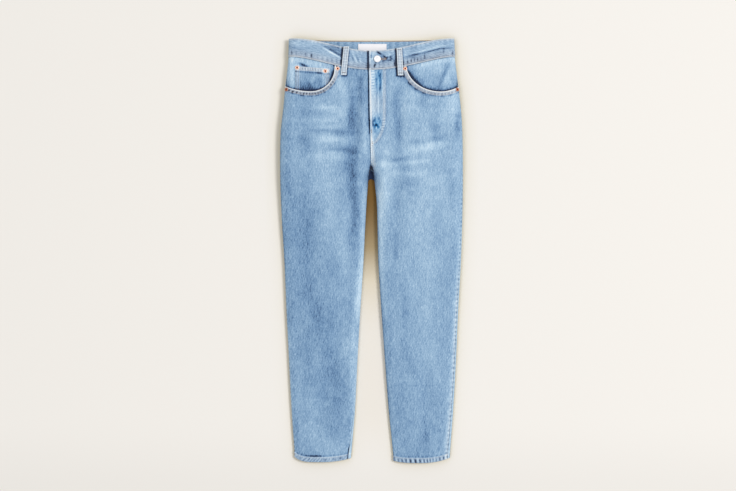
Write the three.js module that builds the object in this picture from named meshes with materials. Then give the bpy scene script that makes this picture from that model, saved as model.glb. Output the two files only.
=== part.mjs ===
// Straight five-pocket jeans, buttoned and laid flat on their back with the front up.
// Millimetres. X runs across the garment, +Y from the hems to the waist, +Z up from the surface it lies on.
// The origin is on that surface, under the middle of the garment.
//
// Every piece is cut from one skin. A place on the skin has three coordinates: the half (side -1 is the
// wearer's right, side +1 the wearer's left), down, the distance from the top of the side towards the hem,
// and along, the distance over the front from the middle, round the side, and back under the garment to
// the middle again.
import * as THREE from "three";

// Driving sizes
const garmentLength = 1020;
const clothThick = 1.2;
const seamGap = 0.3;
const waistHeight = 44; // waistband at the side
const waistDip = 30; // how far the front waist lies below the side
const waistSideReach = 198;
const waistOut = 1.0; // the waistband stands this far out of the skin
const waistIn = 1.6; // and lies this far inside it
const frontCrotch = 313; // where the front rise ends
const backCrotch = 341; // where the back rise ends, in sight between the legs
const crotchHeight = 3.4; // inseam above the surface there
const seatLift = 1.6; // the seat lies on the back pockets
const waistLift = 3.6; // the back waistband lies on its belt loops
const hemHeight = 12.5;
const hemStation = 1000; // the leg's section here also serves for the hem
const hemOut = 1.0;
const flyWidth = 38;
const flyLength = 255;
const flyOut = 0.9;
const flyStraight = 180; // the fly's stitching curves in below this
const pocketBand = 10; // turned and stitched edge of a front pocket
const pocketBandOut = 0.7;
const pocketBandFade = 1.5;
const facingSink = 3.4; // front pocket facing below the skin
const facingSide = 0.4; // and where it is sewn into the side
const facingEnd = 152;
const facingFlap = 14; // the facing runs on this far under the front
const loopWidth = 13;
const loopThick = 2.2;
const rivetRadius = 4.6;
const buttonRadius = 8.3;
const backWaistTop = 5;
const underlap = 36; // the right waistband runs on this far under the left one
const underlapDrop = waistOut + waistIn + seamGap;
const yokeStation = 110;
const crownRise = 3.5; // the front is this much lower at its sides
const maxInnerRoll = 26;
const leastBend = 0.001;

const paint = {
  denim: 0x8fb0d0,
  washed: 0xa4c1dc,
  inside: 0x86a5c6,
  copper: 0xc88468,
  steel: 0xd9d9d6,
  label: 0xf1f0ee,
};

// Reading tables
function rowsOf(columns, values) {
  return values.map((row) => Object.fromEntries(columns.map((name, i) => [name, row[i]])));
}

// A smooth curve through one column of a table, by the column down.
function read(table, column, down) {
  const last = table.length - 1;
  if (down <= table[0].down) return table[0][column];
  if (down >= table[last].down) return table[last][column];
  const i = table.findIndex((row) => row.down > down) - 1;
  const slope = (k) => {
    const a = table[Math.max(k - 1, 0)];
    const b = table[Math.min(k + 1, last)];
    return (b[column] - a[column]) / (b.down - a.down);
  };
  const span = table[i + 1].down - table[i].down;
  const t = (down - table[i].down) / span;
  const t2 = t * t;
  const t3 = t2 * t;
  return (
    (2 * t3 - 3 * t2 + 1) * table[i][column] +
    (t3 - 2 * t2 + t) * span * slope(i) +
    (3 * t2 - 2 * t3) * table[i + 1][column] +
    (t3 - t2) * span * slope(i + 1)
  );
}

const mix = (a, b, t) => a + (b - a) * t;
const clamp = (x, low, high) => Math.min(Math.max(x, low), high);
const ease = (low, high, x) => {
  const t = clamp((x - low) / (high - low), 0, 1);
  return t * t * (3 - 2 * t);
};

// The outline seen from above, the height of the front over the surface, and how far round its edge rolls.
const sectionColumns = ["down", "outer", "loft", "roll"];
const sections = {
  "-1": rowsOf(sectionColumns, [
    [0, 197.5, 26, 22],
    [52, 199.8, 29, 24],
    [110, 206.5, 31.5, 27],
    [165, 211.8, 32, 28],
    [225, 218.2, 32, 28],
    [320, 219.6, 29, 28],
    [425, 216.4, 23, 26],
    [540, 209.6, 18.5, 23],
    [650, 205.2, 17, 21],
    [770, 199.0, 15.5, 19],
    [890, 193.0, 14, 17],
    [1000, 185.2, 12.5, 15],
    [1020, 184.0, 12, 15],
  ]),
  "1": rowsOf(sectionColumns, [
    [0, 198.0, 26, 22],
    [52, 201.0, 29, 24],
    [110, 208.2, 31.5, 27],
    [165, 214.5, 32, 28],
    [225, 218.4, 32, 28],
    [320, 219.6, 29.5, 28],
    [425, 218.6, 24.5, 26],
    [540, 215.0, 21, 24],
    [650, 208.8, 19, 22],
    [770, 203.6, 17, 20],
    [890, 196.8, 15, 18],
    [1000, 188.8, 13, 15],
    [1020, 187.5, 12.5, 15],
  ]),
};

// The inner edge of each leg, and how far its seams lie in from the edges, on the front.
const legColumns = ["down", "inner", "inseamIn", "outseamIn"];
const legs = {
  "-1": rowsOf(legColumns, [
    [313, 0.9, 0, 0],
    [320, 4.4, 0, 0],
    [329, 6.4, 0, 0],
    [341, 7.8, 0, 0],
    [392, 11.6, 0, 0],
    [450, 15.0, 0, 0],
    [540, 19.4, 0, 0],
    [650, 26.6, 0, 0],
    [770, 33.4, 2.6, 0],
    [890, 39.4, 6, 0],
    [1000, 48.8, 11, 0],
    [1020, 50.4, 11.5, 0],
  ]),
  "1": rowsOf(legColumns, [
    [313, -0.3, 0, 0],
    [320, 3.4, 0, 0.6],
    [329, 5.6, 0, 1.4],
    [341, 7.0, 0, 2.5],
    [392, 12.6, 0, 6],
    [450, 14.4, 0, 8],
    [540, 16.6, 0, 8.5],
    [650, 23.4, 0, 9],
    [770, 32.0, 0, 9],
    [890, 41.0, 0, 9.5],
    [1000, 52.2, 0, 10],
    [1020, 54.0, 0, 10],
  ]),
};

// The middle of the front: the edge of the fly, then the front rise down to the crotch.
const middle = rowsOf(["down", "x"], [
  [0, -7.4],
  [80, -6.6],
  [200, -4.6],
  [313, -0.6],
]);

// The largest folds of the front: soft troughs, or ridges where deep is below nought.
const folds = rowsOf(["x", "down", "length", "lean", "width", "deep"], [
  [-41, 215, 175, 4, 12, 3.0],
  [-49, 430, 120, 0, 13, 2.0],
  [-22, 190, 120, -2, 9, -1.4],
  [66, 190, 110, 2, 12, 2.6],
  [60, 400, 110, 0, 14, 1.8],
  [-150, 520, 170, 0, 22, 1.8],
  [-100, 810, 200, 13, 20, 2.2],
  [130, 850, 150, -3, 18, 1.6],
  [112, 560, 180, 2, 24, 1.5],
  [-108, 95, 34, 8, 9, 1.0],
  [-176, 246, 46, 60, 12, 1.2],
  [168, 232, 44, -62, 12, 1.2],
  [150, 92, 38, -18, 10, 1.4],
]);

// How deep the folds of a table are together at one place: a bell across each fold, a taper along it.
function depthOf(table, x, down) {
  return table.reduce((sum, fold) => {
    const turn = THREE.MathUtils.degToRad(fold.lean);
    const dx = x - fold.x;
    const dy = down - fold.down;
    const across = (dx * Math.cos(turn) + dy * Math.sin(turn)) / fold.width;
    const length = (dy * Math.cos(turn) - dx * Math.sin(turn)) / fold.length;
    return sum + fold.deep * Math.exp(-across * across) * Math.max(0, 1 - length * length) ** 2;
  }, 0);
}

// Quarter of an ellipse's way round
const quarter = (a, b) => (Math.PI / 4) * (3 * (a + b) - Math.sqrt((3 * a + b) * (a + 3 * b)));
const rightAngle = Math.PI / 2;

// Everything that one cross-section needs.
function section(side, down) {
  const outer = read(sections[side], "outer", down);
  const roll = read(sections[side], "roll", down);
  const loft = read(sections[side], "loft", down);
  const base = mix(mix(waistLift, seatLift, ease(60, 105, down)), 0, ease(325, 385, down));
  const height = (loft + base) / 2;
  const legness = down < frontCrotch ? clamp((down - 235) / (frontCrotch - 235), 0, 1) ** 2 : 1;
  const rise = side * read(middle, "x", down) + seamGap * legness;
  const inner = down < frontCrotch ? rise : read(legs[side], "inner", down);
  const innerHeight = mix(crotchHeight, height, ease(backCrotch, 440, down));
  const innerRoll = Math.min(roll, maxInnerRoll);
  const inSight = ease(backCrotch - 4, backCrotch, down);
  const innerUnder = mix(-side * 0.6, inner, inSight);
  const underRoll = Math.min(height - base, roll);
  const underInnerRoll = Math.max(innerHeight - base, 1.5);
  const s = { side, down, outer, roll, loft, base, height, legness, inner, innerHeight, innerRoll };
  Object.assign(s, { innerUnder, underRoll, underInnerRoll, underLegness: inSight });
  s.startFlat = inner + innerRoll;
  s.innerLength = mix(innerRoll, quarter(innerRoll, loft - innerHeight), legness);
  s.start = s.startFlat - s.innerLength;
  s.endFlat = outer - roll;
  s.edge = s.endFlat + quarter(roll, loft - height);
  s.startUnder = s.edge + quarter(underRoll, height - base);
  s.endUnder = s.startUnder + (outer - underRoll) - (innerUnder + underInnerRoll);
  s.innerGap = (seamGap / 2) * mix(1, s.innerLength / ((loft - innerHeight) * rightAngle), legness);
  s.underInnerLength = mix(underInnerRoll, quarter(underInnerRoll, innerHeight - base), inSight);
  s.end = s.endUnder + s.underInnerLength;
  return s;
}

// The crown of the front: one over the hips, one over each leg.
function crown(s, q) {
  const overHips = (q / s.outer) ** 2;
  const overLeg = ((2 * q - s.inner - s.outer) / (s.outer - s.inner)) ** 2;
  return crownRise * mix(overHips, overLeg, ease(170, frontCrotch, s.down));
}

// A point of the skin.
function skin(side, down, along) {
  const s = section(side, down);
  const at = along > s.end ? s.start + (along - s.end) : along;
  let q;
  let z;
  if (at < s.startUnder) {
    const top = (x) => s.loft - crown(s, x) - depthOf(folds, side * x, down);
    if (at < s.startFlat) {
      const share = (s.startFlat - at) / s.innerLength;
      const bend = Math.max(s.legness, leastBend) * rightAngle;
      const turn = share * bend;
      q = s.startFlat - (s.innerRoll * Math.sin(turn)) / Math.sin(bend);
      z = s.innerHeight + (top(q) - s.innerHeight) * Math.cos(turn);
    } else if (at < s.endFlat) {
      q = at;
      z = top(q);
    } else if (at < s.edge) {
      const turn = ((at - s.endFlat) / (s.edge - s.endFlat)) * rightAngle;
      q = s.endFlat + s.roll * Math.sin(turn);
      z = s.height + (top(q) - s.height) * Math.cos(turn);
    } else {
      const turn = ((at - s.edge) / (s.startUnder - s.edge)) * rightAngle;
      q = s.outer - s.underRoll + s.underRoll * Math.cos(turn);
      z = s.height - (s.height - s.base) * Math.sin(turn);
    }
  } else if (at < s.endUnder) {
    q = s.outer - s.underRoll - (at - s.startUnder);
    z = s.base;
  } else {
    const bend = Math.max(s.underLegness, leastBend) * rightAngle;
    const turn = ((at - s.endUnder) / s.underInnerLength) * bend;
    q = s.innerUnder + s.underInnerRoll - (s.underInnerRoll * Math.sin(turn)) / Math.sin(bend);
    z = s.innerHeight - (s.innerHeight - s.base) * Math.cos(turn);
  }
  return new THREE.Vector3(side * q, garmentLength / 2 - down, z);
}

// The outward direction of the skin.
function outward(side, down, along) {
  const step = 0.4;
  const byDown = skin(side, down + step, along).sub(skin(side, down - step, along));
  const byAlong = skin(side, down, along + step).sub(skin(side, down, along - step));
  return byDown.cross(byAlong).multiplyScalar(side).normalize();
}

// Where a plan distance from the middle lies along the skin, on the front and under the garment.
function overAt(side, down, q) {
  const s = section(side, down);
  if (q < s.endFlat) return q;
  const turn = Math.asin(clamp((q - s.endFlat) / s.roll, 0, 1));
  return s.endFlat + ((s.edge - s.endFlat) * turn) / rightAngle;
}
function underAt(side, down, q) {
  const s = section(side, down);
  return s.startUnder + (s.outer - s.underRoll) - q;
}

// A closed wall over a grid, from the points of its outer and inner face. hand is 1 where the outside is on
// the right of the columns, going down the rows, and -1 where it is on the left.
function closedWall(hand, rows, columns, outer, inner) {
  const count = (rows + 1) * (columns + 1);
  const id = (face, r, c) => face * count + r * (columns + 1) + c;
  const index = [];
  const quad = (a, b, c, d) => (hand > 0 ? index.push(a, b, c, a, c, d) : index.push(a, c, b, a, d, c));
  for (let r = 0; r < rows; r++) {
    for (let c = 0; c < columns; c++) {
      quad(id(0, r, c), id(0, r + 1, c), id(0, r + 1, c + 1), id(0, r, c + 1));
      quad(id(1, r, c), id(1, r, c + 1), id(1, r + 1, c + 1), id(1, r + 1, c));
    }
    quad(id(0, r, 0), id(1, r, 0), id(1, r + 1, 0), id(0, r + 1, 0));
    quad(id(0, r, columns), id(0, r + 1, columns), id(1, r + 1, columns), id(1, r, columns));
  }
  for (let c = 0; c < columns; c++) {
    quad(id(0, 0, c), id(0, 0, c + 1), id(1, 0, c + 1), id(1, 0, c));
    quad(id(0, rows, c), id(1, rows, c), id(1, rows, c + 1), id(0, rows, c + 1));
  }
  const geometry = new THREE.BufferGeometry();
  const points = [...outer, ...inner].flatMap((p) => [p.x, p.y, p.z]);
  geometry.setAttribute("position", new THREE.Float32BufferAttribute(points, 3));
  geometry.setIndex(index);
  return geometry;
}

// A wall of cloth on one half. place gives the down and along of each grid point, out and into the
// distances of the two faces from the skin, outwards.
function wallOfCloth({ side, rows, columns, place, out = () => 0, into = () => -clothThick }) {
  const [outer, inner] = [out, into].map((offset) => {
    const points = [];
    for (let r = 0; r <= rows; r++) {
      for (let c = 0; c <= columns; c++) {
        const { down, along } = place(r, c);
        const point = skin(side, down, along);
        points.push(point.addScaledVector(outward(side, down, along), offset(down, along)));
      }
    }
    return points;
  });
  return closedWall(side, rows, columns, outer, inner);
}

const jeans = new THREE.Group();

function add(name, geometry, color, roughness = 0.9, metalness = 0) {
  geometry.computeVertexNormals();
  const mesh = new THREE.Mesh(geometry, new THREE.MeshStandardMaterial({ color, roughness, metalness }));
  mesh.name = name;
  jeans.add(mesh);
  return mesh;
}

// Seam lines. The waist dips in the middle of the front, a little fuller on the left half.
const dipShare = (q, power) => Math.cos(rightAngle * clamp(Math.abs(q) / waistSideReach, 0, 1)) ** power;
const dipPowers = { "-1": { top: 2.2, seam: 1.65 }, "1": { top: 1.85, seam: 1.45 } };
const waistTop = (side, q) => waistDip * dipShare(q, dipPowers[side].top);
const waistSeam = (side, q) => waistHeight + (waistDip + 2) * dipShare(q, dipPowers[side].seam);
const backWaistSeam = (q) => waistHeight + backWaistTop * dipShare(q, 2);
const yokeSeam = (q) => mix(128, 86, clamp(q / 200, 0, 1));
const seamEdge = (s) => s.edge - (s.down < frontCrotch ? 0 : read(legs[s.side], "outseamIn", s.down));
const seamInner = (s) => (s.down < frontCrotch ? 0 : read(legs[s.side], "inseamIn", s.down));

// The hem curves up towards the seams of each leg.
const hems = {
  "-1": { lowest: 1018, innerRise: 9, innerPower: 2, outerRise: 12, outerPower: 5 },
  "1": { lowest: garmentLength, innerRise: 5, innerPower: 4, outerRise: 12, outerPower: 2.2 },
};
function hemLine(side, q, lift = 0) {
  const s = section(side, hemStation);
  const hem = hems[side];
  const part = clamp((2 * q - s.inner - s.outer) / (s.outer - s.inner), -1, 1);
  const innerRise = (hem.innerRise - lift) * Math.max(-part, 0) ** hem.innerPower;
  const outerRise = (hem.outerRise - lift) * Math.max(part, 0) ** hem.outerPower;
  return hem.lowest - lift - innerRise - outerRise;
}

// Front pocket openings: a quarter ellipse from the top to the lowest point, and part of one on out to the
// side.
const pockets = {
  "-1": { middle: 145, top: 71, reach: 57, depth: 57, side: 115 },
  "1": { middle: 165, top: 62, reach: 82, depth: 66.4, side: 116 },
};
for (const side of [-1, 1]) {
  const pocket = pockets[side];
  const rise = (pocket.side - pocket.top) / pocket.depth;
  const outer = read(sections[side], "outer", pocket.side);
  pocket.sideReach = (outer - pocket.middle) / Math.sqrt(1 - rise * rise);
}

// How far outside a pocket's opening a point lies, in millimetres, below nought inside it.
function fromPocket(side, down, q) {
  const pocket = pockets[side];
  const reach = q < pocket.middle ? pocket.reach : pocket.sideReach;
  const x = (q - pocket.middle) / reach;
  const y = Math.max(down - pocket.top, 0) / pocket.depth;
  const r = Math.hypot(x, y);
  return r === 0 ? -1 : ((r - 1) * Math.hypot(x * reach, y * pocket.depth)) / r;
}

// Front panels
const frontColumns = { waist: 7, pocket: 5, pocketSide: 6, inner: 4, outer: 4 };
const frontWidth = frontColumns.waist + frontColumns.pocket + frontColumns.pocketSide;
const frontTopRows = [0, 0.12, 0.22, 0.45, 0.72, 1];
const frontTopEnd = 170;
const thighStations = [200, 230, 256, 280, 300, 313, 320, 329, 341, 360, 388, 424, 465];
const calfStations = Array.from({ length: 9 }, (unused, i) => 510 + 50 * i);
const legStations = [...thighStations, ...calfStations, 950];
const hemRows = [30, hemHeight + 1.5, hemHeight, 0];

// The top edge of a front panel: the waist seam, then the pocket's opening, out to the side.
function frontTop(side, c) {
  const { waist, pocket, pocketSide } = frontColumns;
  const p = pockets[side];
  if (c < waist) {
    const share = c / (waist - 1);
    const q = mix(side * read(middle, "x", p.top), p.middle - p.reach - pocketBand - pocketBandFade, share);
    return { down: waistSeam(side, q) + seamGap, along: q };
  }
  if (c < waist + pocket) {
    const turn = (rightAngle * (c - waist)) / pocket;
    const q = p.middle - p.reach * Math.cos(turn);
    const seam = waistSeam(side, q) + seamGap;
    return { down: c === waist ? seam : Math.max(p.top + p.depth * Math.sin(turn), seam), along: q };
  }
  const s = section(side, p.side);
  const along = mix(p.middle, s.edge, (c - waist - pocket) / pocketSide);
  const x = (side * skin(side, p.side, along).x - p.middle) / p.sideReach;
  return { down: p.top + p.depth * Math.sqrt(1 - x * x), along };
}

function frontBody(s, c) {
  const { inner, outer } = frontColumns;
  const start = s.start + seamInner(s);
  const end = seamEdge(s);
  if (c <= inner) return mix(start, s.startFlat, c / inner);
  const endFlat = Math.min(s.endFlat, end - 6);
  if (c <= frontWidth - outer) return mix(s.startFlat, endFlat, (c - inner) / (frontWidth - inner - outer));
  return mix(endFlat, end, (c - frontWidth + outer) / outer);
}

function frontPlace(side, r, c) {
  const shareOf = (down, along) => {
    const s = section(side, down);
    const start = s.start + seamInner(s);
    return (along - start) / (seamEdge(s) - start);
  };
  const placed = (down, share) => {
    const s = section(side, down);
    const start = s.start + seamInner(s) + s.innerGap;
    return { down, along: mix(start, seamEdge(s) - seamGap / 2, share) };
  };
  const topRows = frontTopRows.length - 1;
  if (r <= topRows) {
    const top = frontTop(side, c);
    const down = mix(top.down, frontTopEnd, frontTopRows[r]);
    const topShare = c === frontWidth ? 1 : shareOf(top.down, top.along);
    const bodyShare = shareOf(down, frontBody(section(side, down), c));
    return placed(down, mix(topShare, bodyShare, ease(0, 1, frontTopRows[r])));
  }
  const station = r - topRows - 1;
  if (station < legStations.length) {
    const down = legStations[station];
    return placed(down, shareOf(down, frontBody(section(side, down), c)));
  }
  const q = side * skin(side, hemStation, frontBody(section(side, hemStation), c)).x;
  const down = hemLine(side, q) - hemRows[station - legStations.length];
  return placed(down, shareOf(down, frontBody(section(side, down), c)));
}

// What stands out of the plain cloth of a front: pocket edge, hem, and on the left the fly.
function frontOut(side) {
  return (down, along) => {
    const point = skin(side, down, along);
    const q = side * point.x;
    const fromEdge = down < facingEnd ? Math.max(fromPocket(side, down, q), 0) : garmentLength;
    const inBand = 1 - ease(pocketBand, pocketBand + pocketBandFade, fromEdge);
    const hem = down > hemStation - 40 ? hemLine(side, q) : garmentLength;
    const inHem = ease(hem - hemHeight - 1.2, hem - hemHeight, down);
    const flyTurn = clamp((down - flyStraight) / (flyLength - flyStraight), 0, 1);
    const flyEdge = flyWidth * Math.sqrt(1 - flyTurn ** 2);
    const inFly = side > 0 ? 1 - ease(flyEdge - 2, flyEdge + 2, q) : 0;
    return Math.max(pocketBandOut * inBand, hemOut * inHem, flyOut * inFly);
  };
}

function addFront(name, side) {
  const rows = frontTopRows.length - 1 + legStations.length + hemRows.length;
  const place = (r, c) => frontPlace(side, r, c);
  add(name, wallOfCloth({ side, rows, columns: frontWidth, place, out: frontOut(side) }), paint.denim);
}

// Back panels
const backColumns = { side: 5, flat: 7, inner: 6 };
const backWidth = backColumns.side + backColumns.flat + backColumns.inner;
const seatStations = [150, 170, 200, 230, 280, 313, 327, 337, 341, 350, 360, 388, 424, 465];
const backStations = [...seatStations, ...calfStations, 950];

function backBody(s, c) {
  const { side, flat, inner } = backColumns;
  const start = seamEdge(s) + seamGap / 2;
  const end = s.end + seamInner(s) - s.innerGap;
  const endFlat = Math.min(s.endUnder, s.end - mix(40, 8, ease(230, 335, s.down)));
  if (c <= side) return mix(start, s.startUnder, c / side);
  if (c <= side + flat) return mix(s.startUnder, endFlat, (c - side) / flat);
  return mix(endFlat, end, (c - side - flat) / inner);
}

function backPlace(side, r, c) {
  const placed = (down) => ({ down, along: backBody(section(side, down), c) });
  const q = side * skin(side, yokeStation, backBody(section(side, yokeStation), c)).x;
  if (r === 0) return placed(yokeSeam(q) + seamGap);
  if (r === 1) return placed(mix(yokeSeam(q), 150, 0.5));
  if (r - 2 < backStations.length) return placed(backStations[r - 2]);
  const s = section(side, hemStation);
  const along = backBody(s, c);
  const hemQ = side * skin(side, hemStation, along).x;
  const under = along >= s.startUnder && along <= s.endUnder;
  return placed(hemLine(side, hemQ, under ? 4 : 0) - hemRows[r - 2 - backStations.length]);
}

function addBack(name, side) {
  const rows = 1 + backStations.length + hemRows.length;
  const place = (r, c) => backPlace(side, r, c);
  add(name, wallOfCloth({ side, rows, columns: backWidth, place }), paint.denim);
}

// Yokes, between the waistband and the back panels
function addYoke(name, side) {
  const rows = 4;
  const place = (r, c) => {
    const at = (down) => backBody(section(side, down), c);
    const q = side * skin(side, yokeStation, at(yokeStation)).x;
    const down = mix(backWaistSeam(q) + seamGap, yokeSeam(q), r / rows);
    return { down, along: at(down) };
  };
  add(name, wallOfCloth({ side, rows, columns: backWidth, place }), paint.denim);
}

// Waistband creases: a slanting one on the right, a long shallow one on the left.
const waistCreases = rowsOf(["x", "down", "length", "lean", "width", "deep"], [
  [-96, 30, 42, -60, 5, 1.0],
  [100, 39, 34, 76, 4, 0.6],
  [140, 30.5, 44, 80, 4, 1.0],
  [176, 24.5, 30, 86, 4, 0.6],
]);

// Front waistbands. The right one dips under the left one, where the button holds them.
function addFrontWaist(name, side) {
  const rows = 6;
  const columns = side < 0 ? 22 : 18;
  const frontEdge = side * read(middle, "x", waistHeight);
  const startQ = side < 0 ? frontEdge - underlap : frontEdge;
  const drop = (q) => (side < 0 ? underlapDrop * (1 - ease(14, 30, q)) : 0);
  const place = (r, c) => {
    const at = (down) => mix(startQ, section(side, down).edge - seamGap / 2, c / columns);
    const q = c === columns ? waistSideReach : at(waistHeight);
    const down = mix(waistTop(side, q), waistSeam(side, q), r / rows);
    return { down, along: at(down) };
  };
  const level = (down, along) => {
    const point = skin(side, down, along);
    return -drop(side * point.x) - depthOf(waistCreases, point.x, down);
  };
  const out = (down, along) => waistOut + level(down, along);
  const into = (down, along) => -waistIn + level(down, along);
  add(name, wallOfCloth({ side, rows, columns, place, out, into }), paint.washed);
}

// The back waistband is one strip from side to side.
function addBackWaist(name) {
  const rows = 3;
  const halfColumns = 9;
  const flatShare = 5 / halfColumns;
  const columns = 2 * halfColumns;
  const face = (offset) => {
    const points = [];
    for (let r = 0; r <= rows; r++) {
      for (let c = 0; c <= columns; c++) {
        const side = c < halfColumns ? -1 : 1;
        const share = Math.abs(c - halfColumns) / halfColumns;
        const at = (down) => {
          const s = section(side, down);
          if (share <= flatShare) return mix(underAt(side, down, 0), s.startUnder, share / flatShare);
          return mix(s.startUnder, s.edge + seamGap / 2, (share - flatShare) / (1 - flatShare));
        };
        const q = side * skin(side, 25, at(25)).x;
        const down = mix(backWaistTop * dipShare(q, 0.6), backWaistSeam(q), r / rows);
        const point = skin(side, down, at(down));
        if (c === halfColumns) point.x = 0;
        points.push(point.addScaledVector(outward(side, down, at(down)), offset));
      }
    }
    return points;
  };
  add(name, closedWall(-1, rows, columns, face(waistOut), face(-waistIn)), paint.washed);
}

// Front pocket facings, in sight through the openings and running on under the fronts
function facingLevel(side, down, along) {
  const s = section(side, down);
  const nearSide = ease(s.endFlat, s.edge, along) * (1 - ease(92, 110, down));
  return -mix(facingSink, facingSide, nearSide);
}

function addFacing(name, side) {
  const rows = 8;
  const columns = 12;
  const pocket = pockets[side];
  const place = (r, c) => {
    const start = pocket.middle - pocket.reach - facingFlap;
    const at = (down) => mix(start, section(side, down).edge - seamGap, c / columns);
    const q = side * skin(side, 60, at(60)).x;
    const down = mix(waistSeam(side, q) + 2 * seamGap, facingEnd, r / rows);
    return { down, along: at(down) };
  };
  const out = (down, along) => facingLevel(side, down, along);
  const into = (down, along) => out(down, along) - clothThick;
  add(name, wallOfCloth({ side, rows, columns, place, out, into }), paint.inside);
}

// Coin pocket on the right facing, its lower part behind the front
const coin = { inner: 101, outer: 183, topInner: 73.5, topOuter: 67, bottom: 146 };
function addCoinPocket(name) {
  const side = -1;
  const rows = 6;
  const columns = 8;
  const place = (r, c) => {
    const q = mix(coin.inner, coin.outer, c / columns);
    const top = mix(coin.topInner, coin.topOuter, c / columns);
    const down = mix(top, coin.bottom, r / rows);
    return { down, along: overAt(side, down, q) };
  };
  const into = (down, along) => facingLevel(side, down, along) + seamGap;
  const out = (down, along) => into(down, along) + clothThick;
  add(name, wallOfCloth({ side, rows, columns, place, out, into }), paint.denim);
}

// Back pockets, under the seat
const backPocket = { inner: 36, outer: 172, top: 142, bottom: 276, point: 20, taper: 7 };
function addBackPocket(name, side) {
  const rows = 4;
  const columns = 6;
  const place = (r, c) => {
    const share = c / columns;
    const taper = mix(0, backPocket.taper, r / rows);
    const q = mix(backPocket.inner + taper, backPocket.outer - taper, 1 - share);
    const bottom = backPocket.bottom + backPocket.point * (1 - Math.abs(2 * share - 1));
    const down = mix(backPocket.top, bottom, r / rows);
    return { down, along: underAt(side, down, q) };
  };
  const out = () => seatLift;
  const into = () => seamGap;
  add(name, wallOfCloth({ side, rows, columns, place, out, into }), paint.denim);
}

// Belt loops. The front ones bow out over the waistband, the back ones are pressed flat under it.
const loopBow = 1.6;
const backLoopLength = 58;
const frontLoops = rowsOf(["name", "side", "topQ", "bottomQ", "top", "bottom"], [
  ["belt_loop_front_right", -1, 60, 66.6, 20.5, 89],
  ["belt_loop_front_left", 1, 66.6, 69.6, 24.5, 90],
]);

function addFrontLoop(loop) {
  const rows = 8;
  const columns = 2;
  const place = (r, c) => {
    const down = mix(loop.top, loop.bottom, r / rows);
    return { down, along: mix(loop.topQ, loop.bottomQ, r / rows) + (c / columns - 0.5) * loopWidth };
  };
  const into = (down, along) => {
    const t = clamp((down - loop.top) / (loop.bottom - loop.top), 0, 1);
    const crease = depthOf(waistCreases, loop.side * along, down);
    return Math.max(waistOut + seamGap - crease, flyOut) + loopBow * Math.sin(Math.PI * t);
  };
  const out = (down, along) => into(down, along) + loopThick;
  add(loop.name, wallOfCloth({ side: loop.side, rows, columns, place, out, into }), paint.washed);
}

function addBackLoop(name, x) {
  const loop = new THREE.BoxGeometry(loopWidth, backLoopLength, loopThick, 1, 4, 1);
  loop.translate(x, garmentLength / 2 - backWaistTop - 1 - backLoopLength / 2, loopThick / 2);
  add(name, loop, paint.washed);
}

// Rivets and the button are turned about the skin's outward direction.
function turned(profile, segments, side, down, along, offset) {
  const geometry = new THREE.LatheGeometry(profile.map(([r, h]) => new THREE.Vector2(r, h)), segments);
  const normal = outward(side, down, along);
  const place = skin(side, down, along).addScaledVector(normal, offset);
  geometry.applyQuaternion(new THREE.Quaternion().setFromUnitVectors(new THREE.Vector3(0, 1, 0), normal));
  geometry.translate(place.x, place.y, place.z);
  return geometry;
}

const rivetProfile = [
  [0, 0],
  [rivetRadius, 0],
  [rivetRadius, 0.4],
  [rivetRadius - 1.2, 1.3],
  [1.7, 1.0],
  [1.3, 1.7],
  [0, 2.0],
];
const buttonProfile = [
  [0, 0],
  [3.4, 0],
  [3.4, 1.4],
  [buttonRadius - 0.6, 1.6],
  [buttonRadius, 2.4],
  [buttonRadius - 0.5, 3.4],
  [buttonRadius - 2.2, 3.9],
  [buttonRadius - 3, 3.4],
  [0, 3.6],
];

const onFacing = clothThick + 2 * seamGap - facingSink;
const onBand = pocketBandOut + seamGap;
const rivets = rowsOf(["name", "side", "down", "q", "offset"], [
  ["rivet_coin_outer", -1, 70.5, 178.5, onFacing + seamGap],
  ["rivet_coin_inner", -1, 79, 110.8, onFacing],
  ["rivet_pocket_right_inner", -1, 73.5, 81, onBand],
  ["rivet_pocket_left_inner", 1, 73.5, 80.5, onBand],
  ["rivet_pocket_right_side", -1, 123, 203.5, onBand],
  ["rivet_pocket_left_side", 1, 123, 205.5, onBand],
]);

const label = { width: 68.5, height: 34, thick: 1, centre: 2, top: 11.5 };
function addLabel() {
  const geometry = new THREE.BoxGeometry(label.width, label.height, label.thick, 4, 2, 1);
  const y = garmentLength / 2 - label.top - label.height / 2;
  geometry.translate(label.centre, y, waistLift + waistIn + seamGap + label.thick / 2);
  add("label", geometry, paint.label);
}

// The pieces, in the order in which they are sewn
addBack("back_right", -1);
addBack("back_left", 1);
addBackPocket("back_pocket_right", -1);
addBackPocket("back_pocket_left", 1);
addYoke("yoke_right", -1);
addYoke("yoke_left", 1);
addFacing("pocket_facing_right", -1);
addFacing("pocket_facing_left", 1);
addCoinPocket("coin_pocket");
addFront("front_right", -1);
addFront("front_left", 1);
addBackWaist("waistband_back");
addFrontWaist("waistband_right", -1);
addFrontWaist("waistband_left", 1);
frontLoops.forEach(addFrontLoop);
addBackLoop("belt_loop_back_right", -112);
addBackLoop("belt_loop_back_middle", 0);
addBackLoop("belt_loop_back_left", 112);
addLabel();

const buttonAt = { down: 50.5, along: 14 };
const buttonShape = turned(buttonProfile, 24, 1, buttonAt.down, buttonAt.along, waistOut + seamGap);
add("button", buttonShape, paint.steel, 0.3, 1);
for (const { name, side, down, q, offset } of rivets) {
  add(name, turned(rivetProfile, 14, side, down, overAt(side, down, q), offset), paint.copper, 0.35, 1);
}

export default jeans;
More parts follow.
